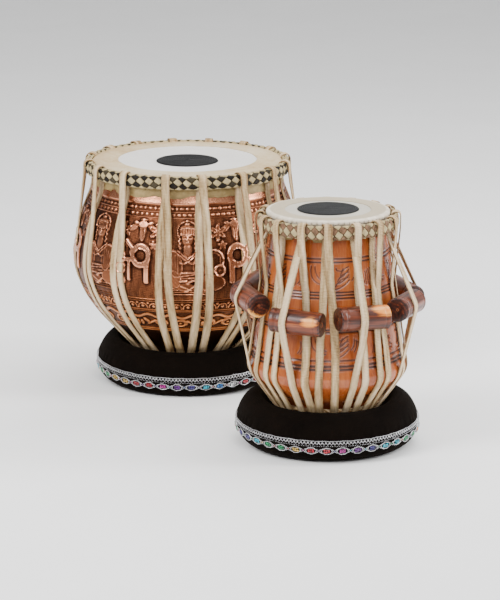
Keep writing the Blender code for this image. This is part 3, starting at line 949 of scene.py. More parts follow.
def copper_shell():
    for name, facts in COPPER_SECTIONS.items():
        copper_section(name, *facts)
    base = spun([(0.0, 0.0245), (0.0300, 0.0245), (0.0300, 0.0270), (0.0, 0.0270)], 64, BAYAN.x)
    copper_piece("base", base, np.full(base.shape[:2], HIDDEN_POLISH))


# ---------------------------------------------------------------- turned and carved wood

GROOVES_MM = (235.0, 231.0, 196.5, 193.2, 189.6, 154.0, 151.0, 118.5)
DEEP_GROOVES_MM = (112.0, 108.2)
CARVED_BANDS_MM = ((213.5, 1.0), (134.5, 0.98))  # a band's middle height and its size
CARVED_BAND_HALF_MM = 17
MOTIFS = 6
FAR_MM = 9.0
CUT_MM = 0.9
WOOD_SEAM = 0.1525
WOOD_SECTIONS = {
    "upper": (WOOD_SEAM, 0.2694, 1.0, [(0.0570, 0.2694), (0.0570, 0.2620), (0.0700, WOOD_SEAM)]),
    "lower": (
        0.0210,
        WOOD_SEAM,
        1.3,
        [
            (0.0700, WOOD_SEAM),
            (0.0730, 0.1200),
            (0.0640, 0.0950),
            (0.0300, 0.0870),
            (0.0, 0.0850),
            (0.0, 0.0207),
            (0.0340, 0.0207),
        ],
    ),
}
# A crescent with a star in it, between sprays of leaves. Each stroke has both ends, its bow and its steps.
STROKES = [
    ((-4, 13.0), (13, -8.5), -0.27, 9),
    ((0.5, 13.0), (14, -5.0), -0.20, 8),
    ((6.6, 6.0), (9.8, 2.6), 0.0, 1),
    ((9.8, 6.0), (6.6, 2.6), 0.0, 1),
    ((25, 11), (28, 8), -0.3, 5),
    ((28, 8), (33, 10), -0.3, 5),
    *(((22 + 1.6 * k, -14 + 3.3 * k), (41 - 0.3 * k, -3 + 3.0 * k), (-0.10, 0.14)[k % 2], 5) for k in range(6)),
    *(((47 + 2.6 * k, 9 - 1.6 * k), (44 + 3.6 * k, -4 - 2.4 * k), 0.12, 5) for k in range(4)),
    *(((-21 + 3.0 * k, -9 - 0.6 * k), (-17 + 2.4 * k, 5 + 1.2 * k), -0.14, 5) for k in range(4)),
]


def nearest_stroke(x, y):
    """How far points lie from the nearest of the carved strokes."""
    found = np.full(y.shape, np.inf)
    for a, b, bow, steps in STROKES:
        a, b = np.array(a, float), np.array(b, float)
        across = np.array([a[1] - b[1], b[0] - a[0]]) * bow
        t = np.linspace(0, 1, steps + 1)[:, None]
        line = a + (b - a) * t + across * 4 * t * (1 - t)
        for start, end in zip(line, line[1:]):
            found = np.minimum(found, from_segment(x, y, start, end))
    return found


def wooden_section(name, low, high, coarseness, inside):
    """One turned stretch of the wooden wall, with the inner face that belongs to it."""
    columns = 680
    outline = wall_between(DAYAN.wall, low, high, 0.85 * MM * coarseness)
    y = outline[:, 1:] / MM + 0 * turns(columns)
    turned = np.full(y.shape, FAR_MM)
    for groove in (*GROOVES_MM, *DEEP_GROOVES_MM):
        turned = np.minimum(turned, np.abs(y - groove) / (1.5 if groove in DEEP_GROOVES_MM else 1.0))
    carved = np.full(y.shape, FAR_MM)
    x = around_mm(turns(columns), MOTIFS, outline[:, :1])
    for middle, size in CARVED_BANDS_MM:
        near = np.abs(y - middle) < CARVED_BAND_HALF_MM
        carved = np.where(near, nearest_stroke(x / size + 17, (y - middle) / size) * size, carved)
    # cut is how deep the grooves and carvings go; the wood material also paints shade into them by it
    cut = np.maximum(np.clip(1.45 - turned, 0, 1), 0.95 * np.clip(1.15 - carved, 0, 1))
    points = embossed(outline, columns, DAYAN.x, -cut * CUT_MM * MM, FACING_DEG)
    points = np.concatenate([points, spun(inside, columns, DAYAN.x, FACING_DEG)])
    cut = np.concatenate([cut, np.zeros((len(inside), columns))])
    quads = grid(len(points), columns, True)
    piece(f"dayan_shell_{name}", points, quads, DAYAN.body, WOOD, "wood", "dayan_shell", cut=cut)


# ---------------------------------------------------------------- heads

SHEET = 0.0007
HEAD_COLUMNS = 720
SPOT_COLUMNS = 160
SPOT_RIDGE = 0.0021  # from one ridge of the black spot to the next


def sheet(outline):
    """The loop round a thin sheet whose top follows an outline that runs upwards and inwards."""
    outline = np.array(outline, float)
    return np.vstack([outline, offset(outline, -SHEET)[::-1]])


def head_noise(drum, knots, step=0):
    return smooth_noise(HEAD_COLUMNS, knots, drum.seed + step)


def head_piece(drum, name, points, slot, material, node, **values):
    quads = grid(*points.shape[:2], True)
    piece(f"{drum.side}_{name}", points, quads, drum.body, material, slot, f"{drum.side}_{node}", **values)


def main_skin(drum):
    """The playing head, drawn down over the shell's rim to under the hoop."""
    foot, top, inner = drum.hoop.bottom + 0.001, drum.tops[0], drum.hoop.inner
    keys = [(wall_radius(drum.wall, foot) + 0.0018, foot), (inner - 0.0046, top - 0.0014)]
    keys += [(inner - 0.0066, top), (0.0, top)]
    points = spun(sheet(resample(keys, 0.0035)), HEAD_COLUMNS, drum.x)
    points[..., 2] += 0.00012 * head_noise(drum, 9)
    head_piece(drum, "main_skin", points, "goat_skin", drum.skins[1], "main_skin")


def skirt(drum):
    """The under skin's ragged edge below the hoop."""
    hoop = drum.hoop
    rows = np.linspace(0, 1, 9)[:, None]
    bites = np.clip((head_noise(drum, 47, 7) - 0.55) / 0.45, 0, 1) ** 0.5
    ragged = 0.0014 * head_noise(drum, 31, 1) + 0.0006 * head_noise(drum, 150, 2)
    low = hoop.bottom - drum.skirt_drop + ragged + 0.0036 * bites
    heights = low + rows * (hoop.bottom + 0.006 - low)
    outer = wall_radius(drum.wall, heights) + 0.0025 + 0.0004 * head_noise(drum, 120, 3) * (1 - rows)
    inner = wall_radius(drum.wall, heights[::-2]) + 0.0009
    both_sides = np.vstack([heights, heights[::-2]])
    points = rings(drum.x, np.vstack([outer, inner]), both_sides, turns(HEAD_COLUMNS))
    # painted shade: the inner face, which lies against the wall, is darkened all over; the outer face grows
    # darker towards its ragged lower edge
    stain = np.vstack([np.broadcast_to(0.9 * (1 - rows) ** 2, outer.shape), np.ones(inner.shape)])
    head_piece(drum, "skirt", points, "goat_skin", drum.skins[0], "under_skin", stain=stain)


def rim_skin(drum):
    """The outer ring of skin on top, pinched where it is laced to the hoop."""
    top, edge, chanti = drum.tops[1], drum.skin_edge, drum.chanti
    angles = turns(HEAD_COLUMNS)
    keys = [(edge - 0.0006, top - 0.0050), (edge, top - 0.0034), (edge - 0.0004, top - 0.0016)]
    keys += [(edge - 0.0020, top - 0.0003), (edge - 0.0044, top)]
    keys += [(chanti + 0.0006, top), (chanti, top - 0.0003)]
    loop = sheet(softened(resample(keys, 0.0007), 2))
    radius, height = loop[:, :1], loop[:, 1:]
    near_hole = np.clip(1 - (radius - chanti) / 0.004, 0, 1)
    outermost = np.clip((top - 0.0018 - height) / 0.0020, 0, 1) * (radius > edge - 0.004)
    pinch = np.maximum(np.cos(angles * drum.holes), 0) ** 10 if drum.holes else 0 * angles
    uneven = 0.0007 * head_noise(drum, 37, 8) * np.clip((radius - edge + 0.008) / 0.008, 0, 1)
    ragged = 0.00045 * head_noise(drum, 40, 4) * near_hole
    shift = ragged - 0.0020 * pinch * outermost + uneven * (0.3 if drum.holes else 1.0)
    points = away(spun(loop, HEAD_COLUMNS, drum.x), drum.x, shift)
    start, width = drum.stain_width
    share = np.clip((radius - (edge - start)) / width, 0, 1)
    stain = share**1.5 * (0.8 + 0.2 * head_noise(drum, 90, 5))
    if not drum.holes:
        stain = stain * (0.55 - 0.45 * np.cos(angles - math.radians(FACING_DEG + 30)))
    head_piece(drum, "rim_skin", points, "rim_skin", drum.skins[2], "rim_skin", stain=stain)


def black_spot(drum):
    """The tuning paste, laid on in ridges, with a steep edge."""
    main_top, top = drum.tops[0] + 0.0001, drum.tops[2]
    share = np.concatenate([np.linspace(0, 0.96, 70), [0.985, 1.0, 1.0]])
    reach = share * drum.spot_radius
    ridges = np.sin(reach / SPOT_RIDGE * 2 * math.pi)
    rise = top - 0.0007 * share**2 + 0.00018 * ridges
    rise[-3:] = [top - 0.0010, top - 0.0016, main_top]
    radius = reach[:, None] * (1 + 0.004 * smooth_noise(SPOT_COLUMNS, 14, drum.seed + 6))
    radius = np.vstack([radius, 0 * radius[:1]])
    points = rings(drum.x, radius, np.append(rise, main_top)[:, None], turns(SPOT_COLUMNS))
    points[..., 0] += drum.spot_offset * math.cos(FACING)
    points[..., 1] += drum.spot_offset * math.sin(FACING)
    ring = np.append(0.5 + 0.5 * ridges, 0)[:, None] + 0 * points[..., 0]
    quads = grid(len(points), SPOT_COLUMNS)
    name = f"{drum.side}_syahi"
    piece(name, points, quads, drum.body, drum.paste, drum.paste_slot, name, ring=ring)


def head(drum):
    """The layers of a head."""
    main_skin(drum)
    skirt(drum)
    rim_skin(drum)
    black_spot(drum)


# ---------------------------------------------------------------- plaited hoops and bottom rings

HOOP_CORNER = 0.0026
HOOP_BULGE = 0.0010
PLAIT_DEPTH = 0.0019


def hoop_loop(hoop, spacing):
    """The rounded section of a hoop, from its inner top round its inside, bottom, outside and top."""
    left, right = hoop.inner + HOOP_CORNER, hoop.outer - HOOP_CORNER
    low, high = hoop.bottom + HOOP_CORNER, hoop.top - HOOP_CORNER
    corners = [((left, high), 90), ((left, low), 180), ((right, low), 270), ((right, high), 0)]
    outline = np.vstack([arc(centre, HOOP_CORNER, start, start + 90, 4) for centre, start in corners])
    loop = resample([*outline, outline[0]], spacing)[:-1]
    middle, half = (hoop.bottom + hoop.top) / 2, (hoop.top - hoop.bottom) / 2
    loop[:, 0] -= HOOP_BULGE * ((loop[:, 1] - middle) / half) ** 2 * (loop[:, 0] > (left + right) / 2)
    return loop


def plaited_hoop(drum):
    """Flat strips plaited diagonally round a hoop."""
    hoop, cells = drum.hoop, drum.cells
    columns = cells * 16
    loop = hoop_loop(hoop, 0.0006)
    run = lengths_along(loop)
    outside = loop[:, 0] > (hoop.inner + hoop.outer) / 2
    row_height, row_half = drum.row
    start = run[outside][np.argmin(np.abs(loop[outside, 1] - row_height))]
    u = np.arange(columns) / columns * cells
    v = (run - start)[:, None] / (2 * row_half) + drum.phase + 0.10 * smooth_noise(columns, cells // 2, 12)
    p = u + 1.16 * v + 0.16 * smooth_noise(columns, cells, 11)
    q = u - 0.86 * v - 0.10 * smooth_noise(columns, cells // 2, 13)
    a, b = (p % 1.0) * 2 - 1, (q % 1.0) * 2 - 1
    over = ((np.floor(p) + np.floor(q)) % 2).astype(float)
    along, across = np.where(over > 0.5, b, a), np.where(over > 0.5, a, b)
    edge = np.clip((0.97 - np.abs(across)) / 0.20, 0, 1) * np.clip((0.99 - np.abs(along)) / 0.12, 0, 1)
    crease = np.where(over < 0.5, np.exp(-((across / 0.10) ** 2)), 0)
    height = np.sqrt(edge) * (1 - 0.30 * along**2) * (0.76 + 0.24 * over) * (1 - 0.30 * crease)
    points = embossed(loop, columns, drum.x, (height - 1.0) * PLAIT_DEPTH, closed=True)
    tint = np.random.default_rng(21).uniform(-0.10, 0.10, (64, cells * 2))
    tone = tint[np.floor(q).astype(int) % 64, np.floor(p).astype(int) % (cells * 2)]
    shown = np.clip(over - tone * (over * 2 - 1), 0, 1)
    name = f"{drum.side}_hoop"
    quads = grid(len(points), columns, True)
    piece(name, points, quads, drum.body, drum.plait, drum.plait_slot, name, over=shown, deep=height)


def bottom_ring(drum):
    """Two hide strips twisted into the ring that gathers the straps under a drum."""
    (centre, height), radius = drum.ring
    columns, around = 260, 12
    angles, turn = turns(columns), turns(around)[:, None]
    twist = turn + angles * 26
    swell = radius * (0.86 + 0.14 * np.abs(np.cos(twist)))
    points = rings(drum.x, centre + swell * np.cos(turn), height + swell * np.sin(turn), angles)
    run = angles * centre + 0 * twist
    looks = dict(run=run, across=0.9 * np.sin(twist), shade=0.3 + 0 * twist)
    quads = grid(around, columns, True)
    name = f"{drum.side}_kundal"
    piece(name, points, quads, drum.body, RAWHIDE, "rawhide", name, **looks)


# ---------------------------------------------------------------- straps

STRAP_HALF_SECTION = [(-0.95, 0.75), (-0.55, 1), (0, 1.1), (0.55, 1), (0.95, 0.75)]
STRAP_SECTION = np.array([(-1, 0), *STRAP_HALF_SECTION, (1, 0), (0.95, -0.75), (0, -1), (-0.95, -0.75)])
RING_CLEARANCE = 0.0010
STRAP_SPACING = 0.0022


def over_hoop(hoop):
    """The turn of a strap over the top of a hoop, from inside to outside."""
    inner, outer, top = hoop.inner - 0.0015, hoop.outer + 0.0018, hoop.top + 0.0017
    keys = [(inner, top - 0.0100), (inner, top - 0.0034), (inner + 0.0008, top - 0.0012), (inner + 0.0028, top)]
    keys += [(outer - 0.0030, top), (outer - 0.0008, top - 0.0011), (outer, top - 0.0032)]
    return fine_profile([*keys, (outer, hoop.bottom + 0.003)])


def ring_side(ring):
    """Where a strap leaves the outside of the bottom ring."""
    return arc(ring[0], ring[1] + RING_CLEARANCE, 60, -60, 10)


def ring_turn(ring):
    """The turn of a strap under the bottom ring, from outside to inside."""
    return arc(ring[0], ring[1] + RING_CLEARANCE, -62, -205, 8)


def wall_bed(wall, below):
    """Where the middle of a strap lies on the wall, up to a height."""
    bed = offset(wall, STRAP_LIFT)
    return bed[bed[:, 1] < below]


def fine_profile(profile):
    return softened(resample(profile, STRAP_SPACING), 2)


def inner_profile(drum):
    """The rising pass, close to the wall, from the ring up to the hoop's inside."""
    hoop = drum.hoop
    lower = taut([*wall_bed(drum.wall, hoop.bottom - 0.016), *ring_side(drum.ring)])
    under_hoop = (wall_radius(drum.wall, hoop.bottom) + 0.0040, hoop.bottom - 0.001)
    top = [(hoop.inner - 0.0015, hoop.bottom + 0.010), under_hoop]
    return fine_profile([*top, *lower, *ring_turn(drum.ring)][::-1])


def outer_profile(drum, below, pinned):
    """The falling pass, from the hoop's outside to the ring; a pinned strap bends in at once."""
    start = (drum.hoop.outer + 0.0018, drum.hoop.bottom + 0.001)
    rest = [*wall_bed(drum.wall, below), *ring_side(drum.ring)]
    lower = [start, *taut(rest)] if pinned else taut([start, *rest])
    return fine_profile([*lower, *ring_turn(drum.ring)])


def strap_points(profile, degrees, axis_x):
    return rings(axis_x, profile[:, 0], profile[:, 1], np.radians(degrees))


class Gathered:
    """Gathers small meshes, with the numbers that their points carry, into one."""

    def __init__(self):
        self.points, self.quads, self.caps, self.values, self.count = [], [], [], {}, 0

    def take(self, points, closed_rows=False, **values):
        rows, columns = points.shape[:2]
        self.points.append(points.reshape(-1, 3))
        self.quads.append(grid(rows, columns, closed_rows) + self.count)
        for key, numbers in values.items():
            self.values.setdefault(key, []).append(numbers)
        self.count += rows * columns

    def piece(self, name, *facts):
        values = {key: np.concatenate(lists) for key, lists in self.values.items()}
        points, quads = np.vstack(self.points), np.vstack(self.quads)
        return piece(name, points, quads, *facts, caps=self.caps, **values)


def add_strap(strips, path, degrees, width, seed, shade):
    """A strap along a path round a drum. degrees gives the way that each point of it faces."""
    random = np.random.default_rng(seed)
    rows, around = len(path), len(STRAP_SECTION)
    along = unit(np.gradient(path, axis=0))
    angles = np.radians(degrees)
    side = np.stack([-np.sin(angles), np.cos(angles), 0 * angles], axis=1)
    side = unit(side - along * (side * along).sum(axis=1)[:, None])
    face = np.cross(side, along)
    run = lengths_along(path)
    knots = max(int(run[-1] / 0.035), 3)
    keys = random.uniform(-1, 1, (4, knots + 1))
    at = np.linspace(0, 1, knots + 1) * run[-1]
    wander, swell, lean, edge = (softened(np.interp(run, at, k), 6)[:, None] for k in keys)
    fade = np.minimum(1, np.minimum(run, run[-1] - run) / 0.04)[:, None]
    half = width / 2 * (1 + 0.055 * swell)
    twist = 0.07 * lean * fade
    flat_side = side * np.cos(twist) + face * np.sin(twist)
    flat_face = face * np.cos(twist) - side * np.sin(twist)
    middle = path + flat_side * 0.00035 * wander * fade
    a, lift = STRAP_SECTION.T
    ruffle = 0.00016 * np.sin(run[:, None] * 2300 + 5 * edge) * (np.abs(a) > 0.9) * np.sign(a)
    out = flat_side[:, None, :] * (half * a + ruffle)[..., None]
    up = flat_face[:, None, :] * (STRAP_THICKNESS / 2 * lift)[:, None]
    first = list(range(strips.count, strips.count + around))
    last = [i + (rows - 1) * around for i in first]
    strips.caps += [first[::-1], last]
    looks = dict(run=np.repeat(run + random.uniform(0, 3), around), across=np.tile(a, rows))
    strips.take(middle[:, None, :] + out + up, **looks, shade=np.full(rows * around, shade))


def spread_at(profile, table, share):
    heights, degrees = np.array(table, float)[::-1].T
    return share * np.interp(profile[:, 1], heights, degrees)


def add_loop(drum, strips, loop, profile, crest, shares, seed, shade):
    """One loop of a lace: a rising pass up to the crest of its profile, and a falling pass after it."""
    rising = spread_at(profile[:crest], drum.inner_spread, -shares[0])
    falling = spread_at(profile[crest:], drum.spread, shares[1])
    here = drum.first_deg + loop * LOOP_DEG + drum.shifts_deg[loop]
    degrees = here + softened(np.concatenate([rising, falling]), 4)
    add_strap(strips, strap_points(profile, degrees, drum.x), degrees, drum.strap, seed + loop, shade)


def bayan_lace():
    strips = Gathered()
    over, down = over_hoop(BAYAN.hoop), outer_profile(BAYAN, 0.25, False)
    profile = np.vstack([inner_profile(BAYAN)[:-3], over[1:-1], down[2:]])
    keep = np.concatenate([[True], np.linalg.norm(np.diff(profile, axis=0), axis=1) > 0.0006])
    profile = fine_profile(profile[keep])
    crest = int(np.argmax(profile[:, 1]))
    random = np.random.default_rng(5)
    for loop in range(LOOPS):
        shares = random.uniform(0.85, 1.15, 2)
        add_loop(BAYAN, strips, loop, profile, crest, shares, 100, random.uniform(0, 0.6))
    strips.piece("bayan_lace", BAYAN.body, RAWHIDE, "rawhide", "bayan_lace")


# How widely each loop's rising and falling passes part, as shares of the treble drum's tables.
RISING_SHARES = [1.35, 1.12, 0.95, 0.9, 1.0, 0.9, 0.9, 0.95, 0.9, 1.0, 1.0, 0.95, 0.9, 1.0, 1.0, 0.9]
FALLING_SHARES = [1.30, 0.95, 0.9, 1.0, 1.0, 0.9, 0.95, 1.0, 0.9, 1.05, 1.1, 1.0, 0.95, 0.9, 0.95, 1.30]
BLOCK_PRESS = 0.1960  # the height at which the blocks begin to pin the falling passes to the wall
# How far each block's strap crosses it from its middle, in degrees towards the left of someone facing it.
BLOCK_CROSSINGS_DEG = [2.0, 4.6, 2.5, 4.0, 3.0, 4.5, 3.6, 6.6]
SHOULDER_RADIUS, SHOULDER_HEIGHT = DAYAN_OUTLINE[-1]
CONE_SLOPE = math.atan2(SHOULDER_RADIUS - DAYAN_NECK[0], DAYAN_NECK[1] - SHOULDER_HEIGHT)


def dayan_lace():
    strips = Gathered()
    over, down = over_hoop(DAYAN.hoop), outer_profile(DAYAN, BLOCK_PRESS, True)
    half = np.vstack([over[1:-1], down[2:]])
    whole = np.vstack([inner_profile(DAYAN)[:-3], half])
    random = np.random.default_rng(8)
    for loop in range(LOOPS):
        under_block = loop % 2 == 1
        profile = resample(half if under_block else whole, STRAP_SPACING)
        crest = 0 if under_block else int(np.argmax(profile[:, 1]))
        shares = (RISING_SHARES[loop], FALLING_SHARES[loop])
        add_loop(DAYAN, strips, loop, profile, crest, shares, 300, random.uniform(0, 0.6))
    strips.piece("dayan_lace", DAYAN.body, RAWHIDE, "rawhide", "dayan_lace")
    for block in range(8):
        block_straps(block)


def block_deg(block):
    return DAYAN.first_deg + (2 * block + 1) * LOOP_DEG + GATTA_SHIFTS_DEG[block]


def block_middle(height):
    """How far a block's middle is from the drum's axis."""
    clear = GATTA_RADIUS + 0.0025
    foot = height - clear * math.sin(CONE_SLOPE)
    return SHOULDER_RADIUS - (foot - SHOULDER_HEIGHT) * math.tan(CONE_SLOPE) + clear * math.cos(CONE_SLOPE)


def block_profile(block):
    """The rising pass of a strap that runs over a block, from the hoop down, and its crest's index."""
    hoop = DAYAN.hoop
    lean = math.radians(BLOCK_CROSSINGS_DEG[block])
    radius = block_middle(GATTA_HEIGHTS[block])
    height = GATTA_HEIGHTS[block] - radius * math.tan(lean) * math.sin(math.radians(GATTA_TILTS_DEG[block]))
    round_block = arc((radius / math.cos(lean), height), GATTA_RADIUS + 0.0014, 80, -70, 24)
    start = (hoop.inner - 0.0010, hoop.bottom - 0.0005)
    hull = taut([start, *round_block, *wall_bed(DAYAN.wall, 0.135), *ring_side(DAYAN.ring)])
    profile = [(hoop.inner - 0.0015, hoop.top - 0.004), *hull, *ring_turn(DAYAN.ring)]
    profile = softened(resample(profile, 0.0018), 2)
    return profile, int(np.argmax(profile[:, 0]))


def block_straps(block):
    """The two halves of the strap that holds a block, as two pieces with no body; the real strap stretches as
    the block is moved.
    """
    profile, crest = block_profile(block)
    lean = BLOCK_CROSSINGS_DEG[block]
    z = profile[:, 1]
    heights = [0.0560, 0.0920, 0.1400, GATTA_HEIGHTS[block], 0.2300, 0.2600]
    offset_deg = np.interp(z, heights, [5.6, 5.0, lean, lean, 0.75 * lean, 0.45 * lean])
    degrees = block_deg(block) - softened(offset_deg, 5)
    points = strap_points(profile, degrees, DAYAN.x)
    shade = 0.55 + 0.4 * ((block * 5) % 8) / 8
    lowest = int(np.argmin(np.abs(z - 0.100)))
    for half, rows, fixed in (("upper", slice(0, crest + 1), 2), ("lower", slice(crest, None), lowest)):
        strips = Gathered()
        add_strap(strips, points[rows], degrees[rows], DAYAN.strap, 500 + block * 2, shade)
        made = strips.piece(f"strap_{block + 1}_{half}", None, RAWHIDE, "rawhide", "dayan_lace")
        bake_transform(made)


# ---------------------------------------------------------------- tuning blocks

BLOCK_COLUMNS = 56
BLOCK_HALF = GATTA_LENGTH / 2
BLOCK_EDGE = 0.0017
BLOCK_DISH = [(0.0, 0.0004), (0.0020, 0.0009), (0.0040, 0.0002), (0.0080, 0.0)]  # how deep the end is dished
# Sapwood patches of some blocks: middle and half length along it, then middle and half width round it
# in degrees.
SAP_PATCHES = {
    7: (-0.0195, 0.0105, 24, 26),
    0: (-0.0235, 0.0150, 56, 40),
    6: (-0.0305, 0.0050, -66, 60),
    3: (0.018, 0.010, 20, 30),
}


def block_outline():
    """A block's outline, from the middle of its upper end to the middle of its lower end."""
    end = [(r, BLOCK_HALF - deep) for r, deep in BLOCK_DISH]
    end += [tuple(p) for p in arc((GATTA_RADIUS - BLOCK_EDGE, BLOCK_HALF - BLOCK_EDGE), BLOCK_EDGE, 90, 0, 5)]
    corner = BLOCK_HALF - BLOCK_EDGE
    side = [(GATTA_RADIUS, z) for z in np.linspace(corner, -corner, 62)[1:-1]]
    return np.array([*end, *side, *[(r, -z) for r, z in end[::-1]]])


def tuning_block(block):
    """A turned block with rounded ends and a scored ring near each."""
    random = np.random.default_rng(40 + block)
    radius, z = block_outline().T
    radius = radius.copy()
    grooves = [BLOCK_HALF - 0.0062 - random.uniform(0, 0.001), BLOCK_HALF - 0.0080]
    grooves += [0.0068 - BLOCK_HALF - random.uniform(0, 0.001)]
    for groove in grooves:
        radius -= 0.0011 * np.exp(-(((z - groove) / 0.0005) ** 2)) * (radius > GATTA_RADIUS * 0.9)
    waist = 1 + 0.012 * np.cos(z / BLOCK_HALF * 2.2 + random.uniform(-1, 1))
    angles = turns(BLOCK_COLUMNS)
    lumps = 1 + 0.010 * smooth_noise(BLOCK_COLUMNS, 7, 60 + block)
    r = np.minimum((radius * waist)[:, None] * lumps, GATTA_RADIUS)
    local = rings(0, r, z[:, None], angles)
    at_end = np.abs(z) > BLOCK_HALF - 0.0012
    sap = 0 * r
    if block in SAP_PATCHES:
        at, long, turned, wide = SAP_PATCHES[block]
        front = np.degrees((angles + math.pi) % (2 * math.pi) - math.pi)
        sap = np.clip(1.5 - np.hypot((z[:, None] - at) / long, (front - turned) / wide) * 1.1, 0, 1)
    sap = sap * np.where(at_end, np.clip((radius - 0.0100) / 0.0030, 0, 1), 1)[:, None]
    pith_radius = 0.0036 if block == 7 else 0.0017
    pith = np.where(at_end, np.clip(1 - radius / pith_radius, 0, 1), 0)[:, None] + 0 * r
    turn, tilt = math.radians(block_deg(block)), math.radians(90 + GATTA_TILTS_DEG[block])
    x, y, w = local[..., 0] + block_middle(GATTA_HEIGHTS[block]), local[..., 1], local[..., 2]
    y, w = y * math.cos(tilt) - w * math.sin(tilt), y * math.sin(tilt) + w * math.cos(tilt)
    east, north = x * math.cos(turn) - y * math.sin(turn), x * math.sin(turn) + y * math.cos(turn)
    points = np.stack([DAYAN.x + east, north, w + GATTA_HEIGHTS[block]], axis=-1)
    shifted = local + [0.010 * random.uniform(-1, 1), 0.010 * random.uniform(-1, 1), block * 0.2]
    looks = dict(local=shifted, end=at_end[:, None] + 0 * r, sap=sap, pith=pith)
    name = f"gatta_{block + 1}"
    piece(name, points, grid(len(points), BLOCK_COLUMNS), name, ROSEWOOD, "rosewood", name, **looks)


# ---------------------------------------------------------------- cushions

CUSHION_COLUMNS = 150
CLOTH_FRAMES = 20
CLOTH_PRESSURE = 4
SWELL_LIMIT = 0.0035

# slope is how steeply the top has settled towards the front, and slump how far the foot bulges there;
# reach is the trim's radius and stones_mm the height of the middle of its stones.
BAYAN_CUSHION = SimpleNamespace(
    side="bayan",
    x=BAYAN.x,
    outline=[
        (0.0500, 0.0000),
        (0.0980, 0.0000),
        (0.1060, 0.0060),
        (0.1115, 0.0110),
        (0.1146, 0.0180),
        (0.1146, 0.0300),
        (0.1122, 0.0400),
        (0.1060, 0.0505),
        (0.0980, 0.0572),
        (0.0910, 0.0590),
        (0.0882, 0.0576),
        (0.0835, 0.0490),
        (0.0700, 0.0320),
        (0.0590, 0.0190),
        (0.0480, 0.0090),
    ],
    slope=0.0560,
    slump=0.008,
    reach=0.1152,
    stones_mm=20.0,
    stones=40,
    first_stone_deg=-106.7,
    seed=45,
)
DAYAN_CUSHION = SimpleNamespace(
    side="dayan",
    x=DAYAN.x,
    outline=[
        (0.0500, 0.0000),
        (0.0920, 0.0000),
        (0.0985, 0.0060),
        (0.1035, 0.0110),
        (0.1074, 0.0180),
        (0.1074, 0.0310),
        (0.1055, 0.0430),
        (0.0985, 0.0545),
        (0.0890, 0.0608),
        (0.0848, 0.0622),
        (0.0815, 0.0604),
        (0.0745, 0.0570),
        (0.0715, 0.0515),
        (0.0655, 0.0455),
        (0.0570, 0.0330),
        (0.0490, 0.0090),
    ],
    slope=0.0480,
    slump=0.002,
    reach=0.1080,
    stones_mm=22.0,
    stones=37,
    first_stone_deg=-98.1,
    seed=42,
)


def sagged(x, y, z, pad):
    """How far a cushion's surface has settled towards the front, where the weight of its drum leans."""
    forward = (x - pad.x) * math.cos(FACING) + y * math.sin(FACING)
    inside = np.clip((np.hypot(x - pad.x, y) - 0.085) / 0.015, 0, 1)
    return -pad.slope * forward * np.where(forward > 0, 1, inside) * np.clip(z / 0.012, 0, 1)


def corners_of(mesh):
    found = np.zeros(len(mesh.vertices) * 3)
    mesh.vertices.foreach_get("co", found)
    return found.reshape(-1, 3)


def swell(made, axis_x):
    """Blows a pad up a little by a cloth simulation, and holds it in below where its trim is sewn on."""
    scene = bpy.context.scene
    bpy.context.view_layer.objects.active = made
    cloth = made.modifiers.new("Cloth", "CLOTH")
    cloth.settings.use_pressure = True
    cloth.settings.uniform_pressure_force = CLOTH_PRESSURE
    cloth.settings.quality = 5
    cloth.settings.effector_weights.gravity = 0
    before = corners_of(made.data)
    for frame_number in range(1, CLOTH_FRAMES + 1):
        scene.frame_set(frame_number)
    evaluated = made.evaluated_get(bpy.context.evaluated_depsgraph_get())
    moved = corners_of(evaluated.to_mesh()) - before
    evaluated.to_mesh_clear()
    made.modifiers.remove(cloth)
    scene.frame_set(1)
    moved *= np.minimum(1, SWELL_LIMIT / np.maximum(np.linalg.norm(moved, axis=1)[:, None], 1e-9))
    radius = np.hypot(before[:, 0] - axis_x, before[:, 1])
    free = np.clip((radius - 0.080) / 0.012, 0, 1) * np.clip((before[:, 2] - 0.030) / 0.008, 0, 1)
    made.data.vertices.foreach_set("co", (before + moved * free[:, None]).ravel())


def settle(made, pad):
    """Smooths a pad, lets its velvet pucker above and below the trim, and settles it towards the front."""
    finer = made.modifiers.new("Subdivision", "SUBSURF")
    finer.levels = finer.render_levels = 1
    bpy.context.view_layer.objects.active = made
    bpy.ops.object.modifier_apply(modifier=finer.name)
    co = corners_of(made.data)
    angles = np.arctan2(co[:, 1], co[:, 0] - pad.x)
    radius = np.hypot(co[:, 0] - pad.x, co[:, 1])
    pleats = np.sin(angles * 61 + 2.2 * np.sin(angles * 7))
    pleats = pleats + 0.6 * np.sin(angles * 97 + 1.7 * np.sin(angles * 5 + 1))
    near = np.exp(-(((co[:, 2] - 0.038) / 0.005) ** 2)) + np.exp(-(((co[:, 2] - 0.010) / 0.004) ** 2))
    co = away(co, pad.x, 0.00035 * pleats * near * (radius > 0.09))
    push = pad.slump * np.clip(1 - co[:, 2] / 0.018, 0, 1) * np.clip((radius - 0.075) / 0.015, 0, 1)
    co[:, 2] += sagged(co[:, 0], co[:, 1], co[:, 2], pad)
    co[:, 0] += push * math.cos(FACING)
    co[:, 1] += push * math.sin(FACING)
    co[:, 2] = np.maximum(co[:, 2], 0.0)
    made.data.vertices.foreach_set("co", co.ravel())
    made.data.shade_smooth()


def cushion(pad):
    """A stuffed velvet ring."""
    outline = np.array(pad.outline)
    middle = outline.mean(axis=0)
    outline = middle + (outline - middle) * (1 - 0.0012 / np.abs(outline - middle).max())
    loop = softened(resample([*outline, outline[0]], 0.004), 1)[:-1]
    faces = grid(len(loop), CUSHION_COLUMNS, True).tolist()
    made = meshed(f"{pad.side}_cushion_pad", spun(loop, CUSHION_COLUMNS, pad.x), faces, {})
    swell(made, pad.x)
    settle(made, pad)
    node = f"{pad.side}_cushion"
    enter(made, node, VELVET, node)


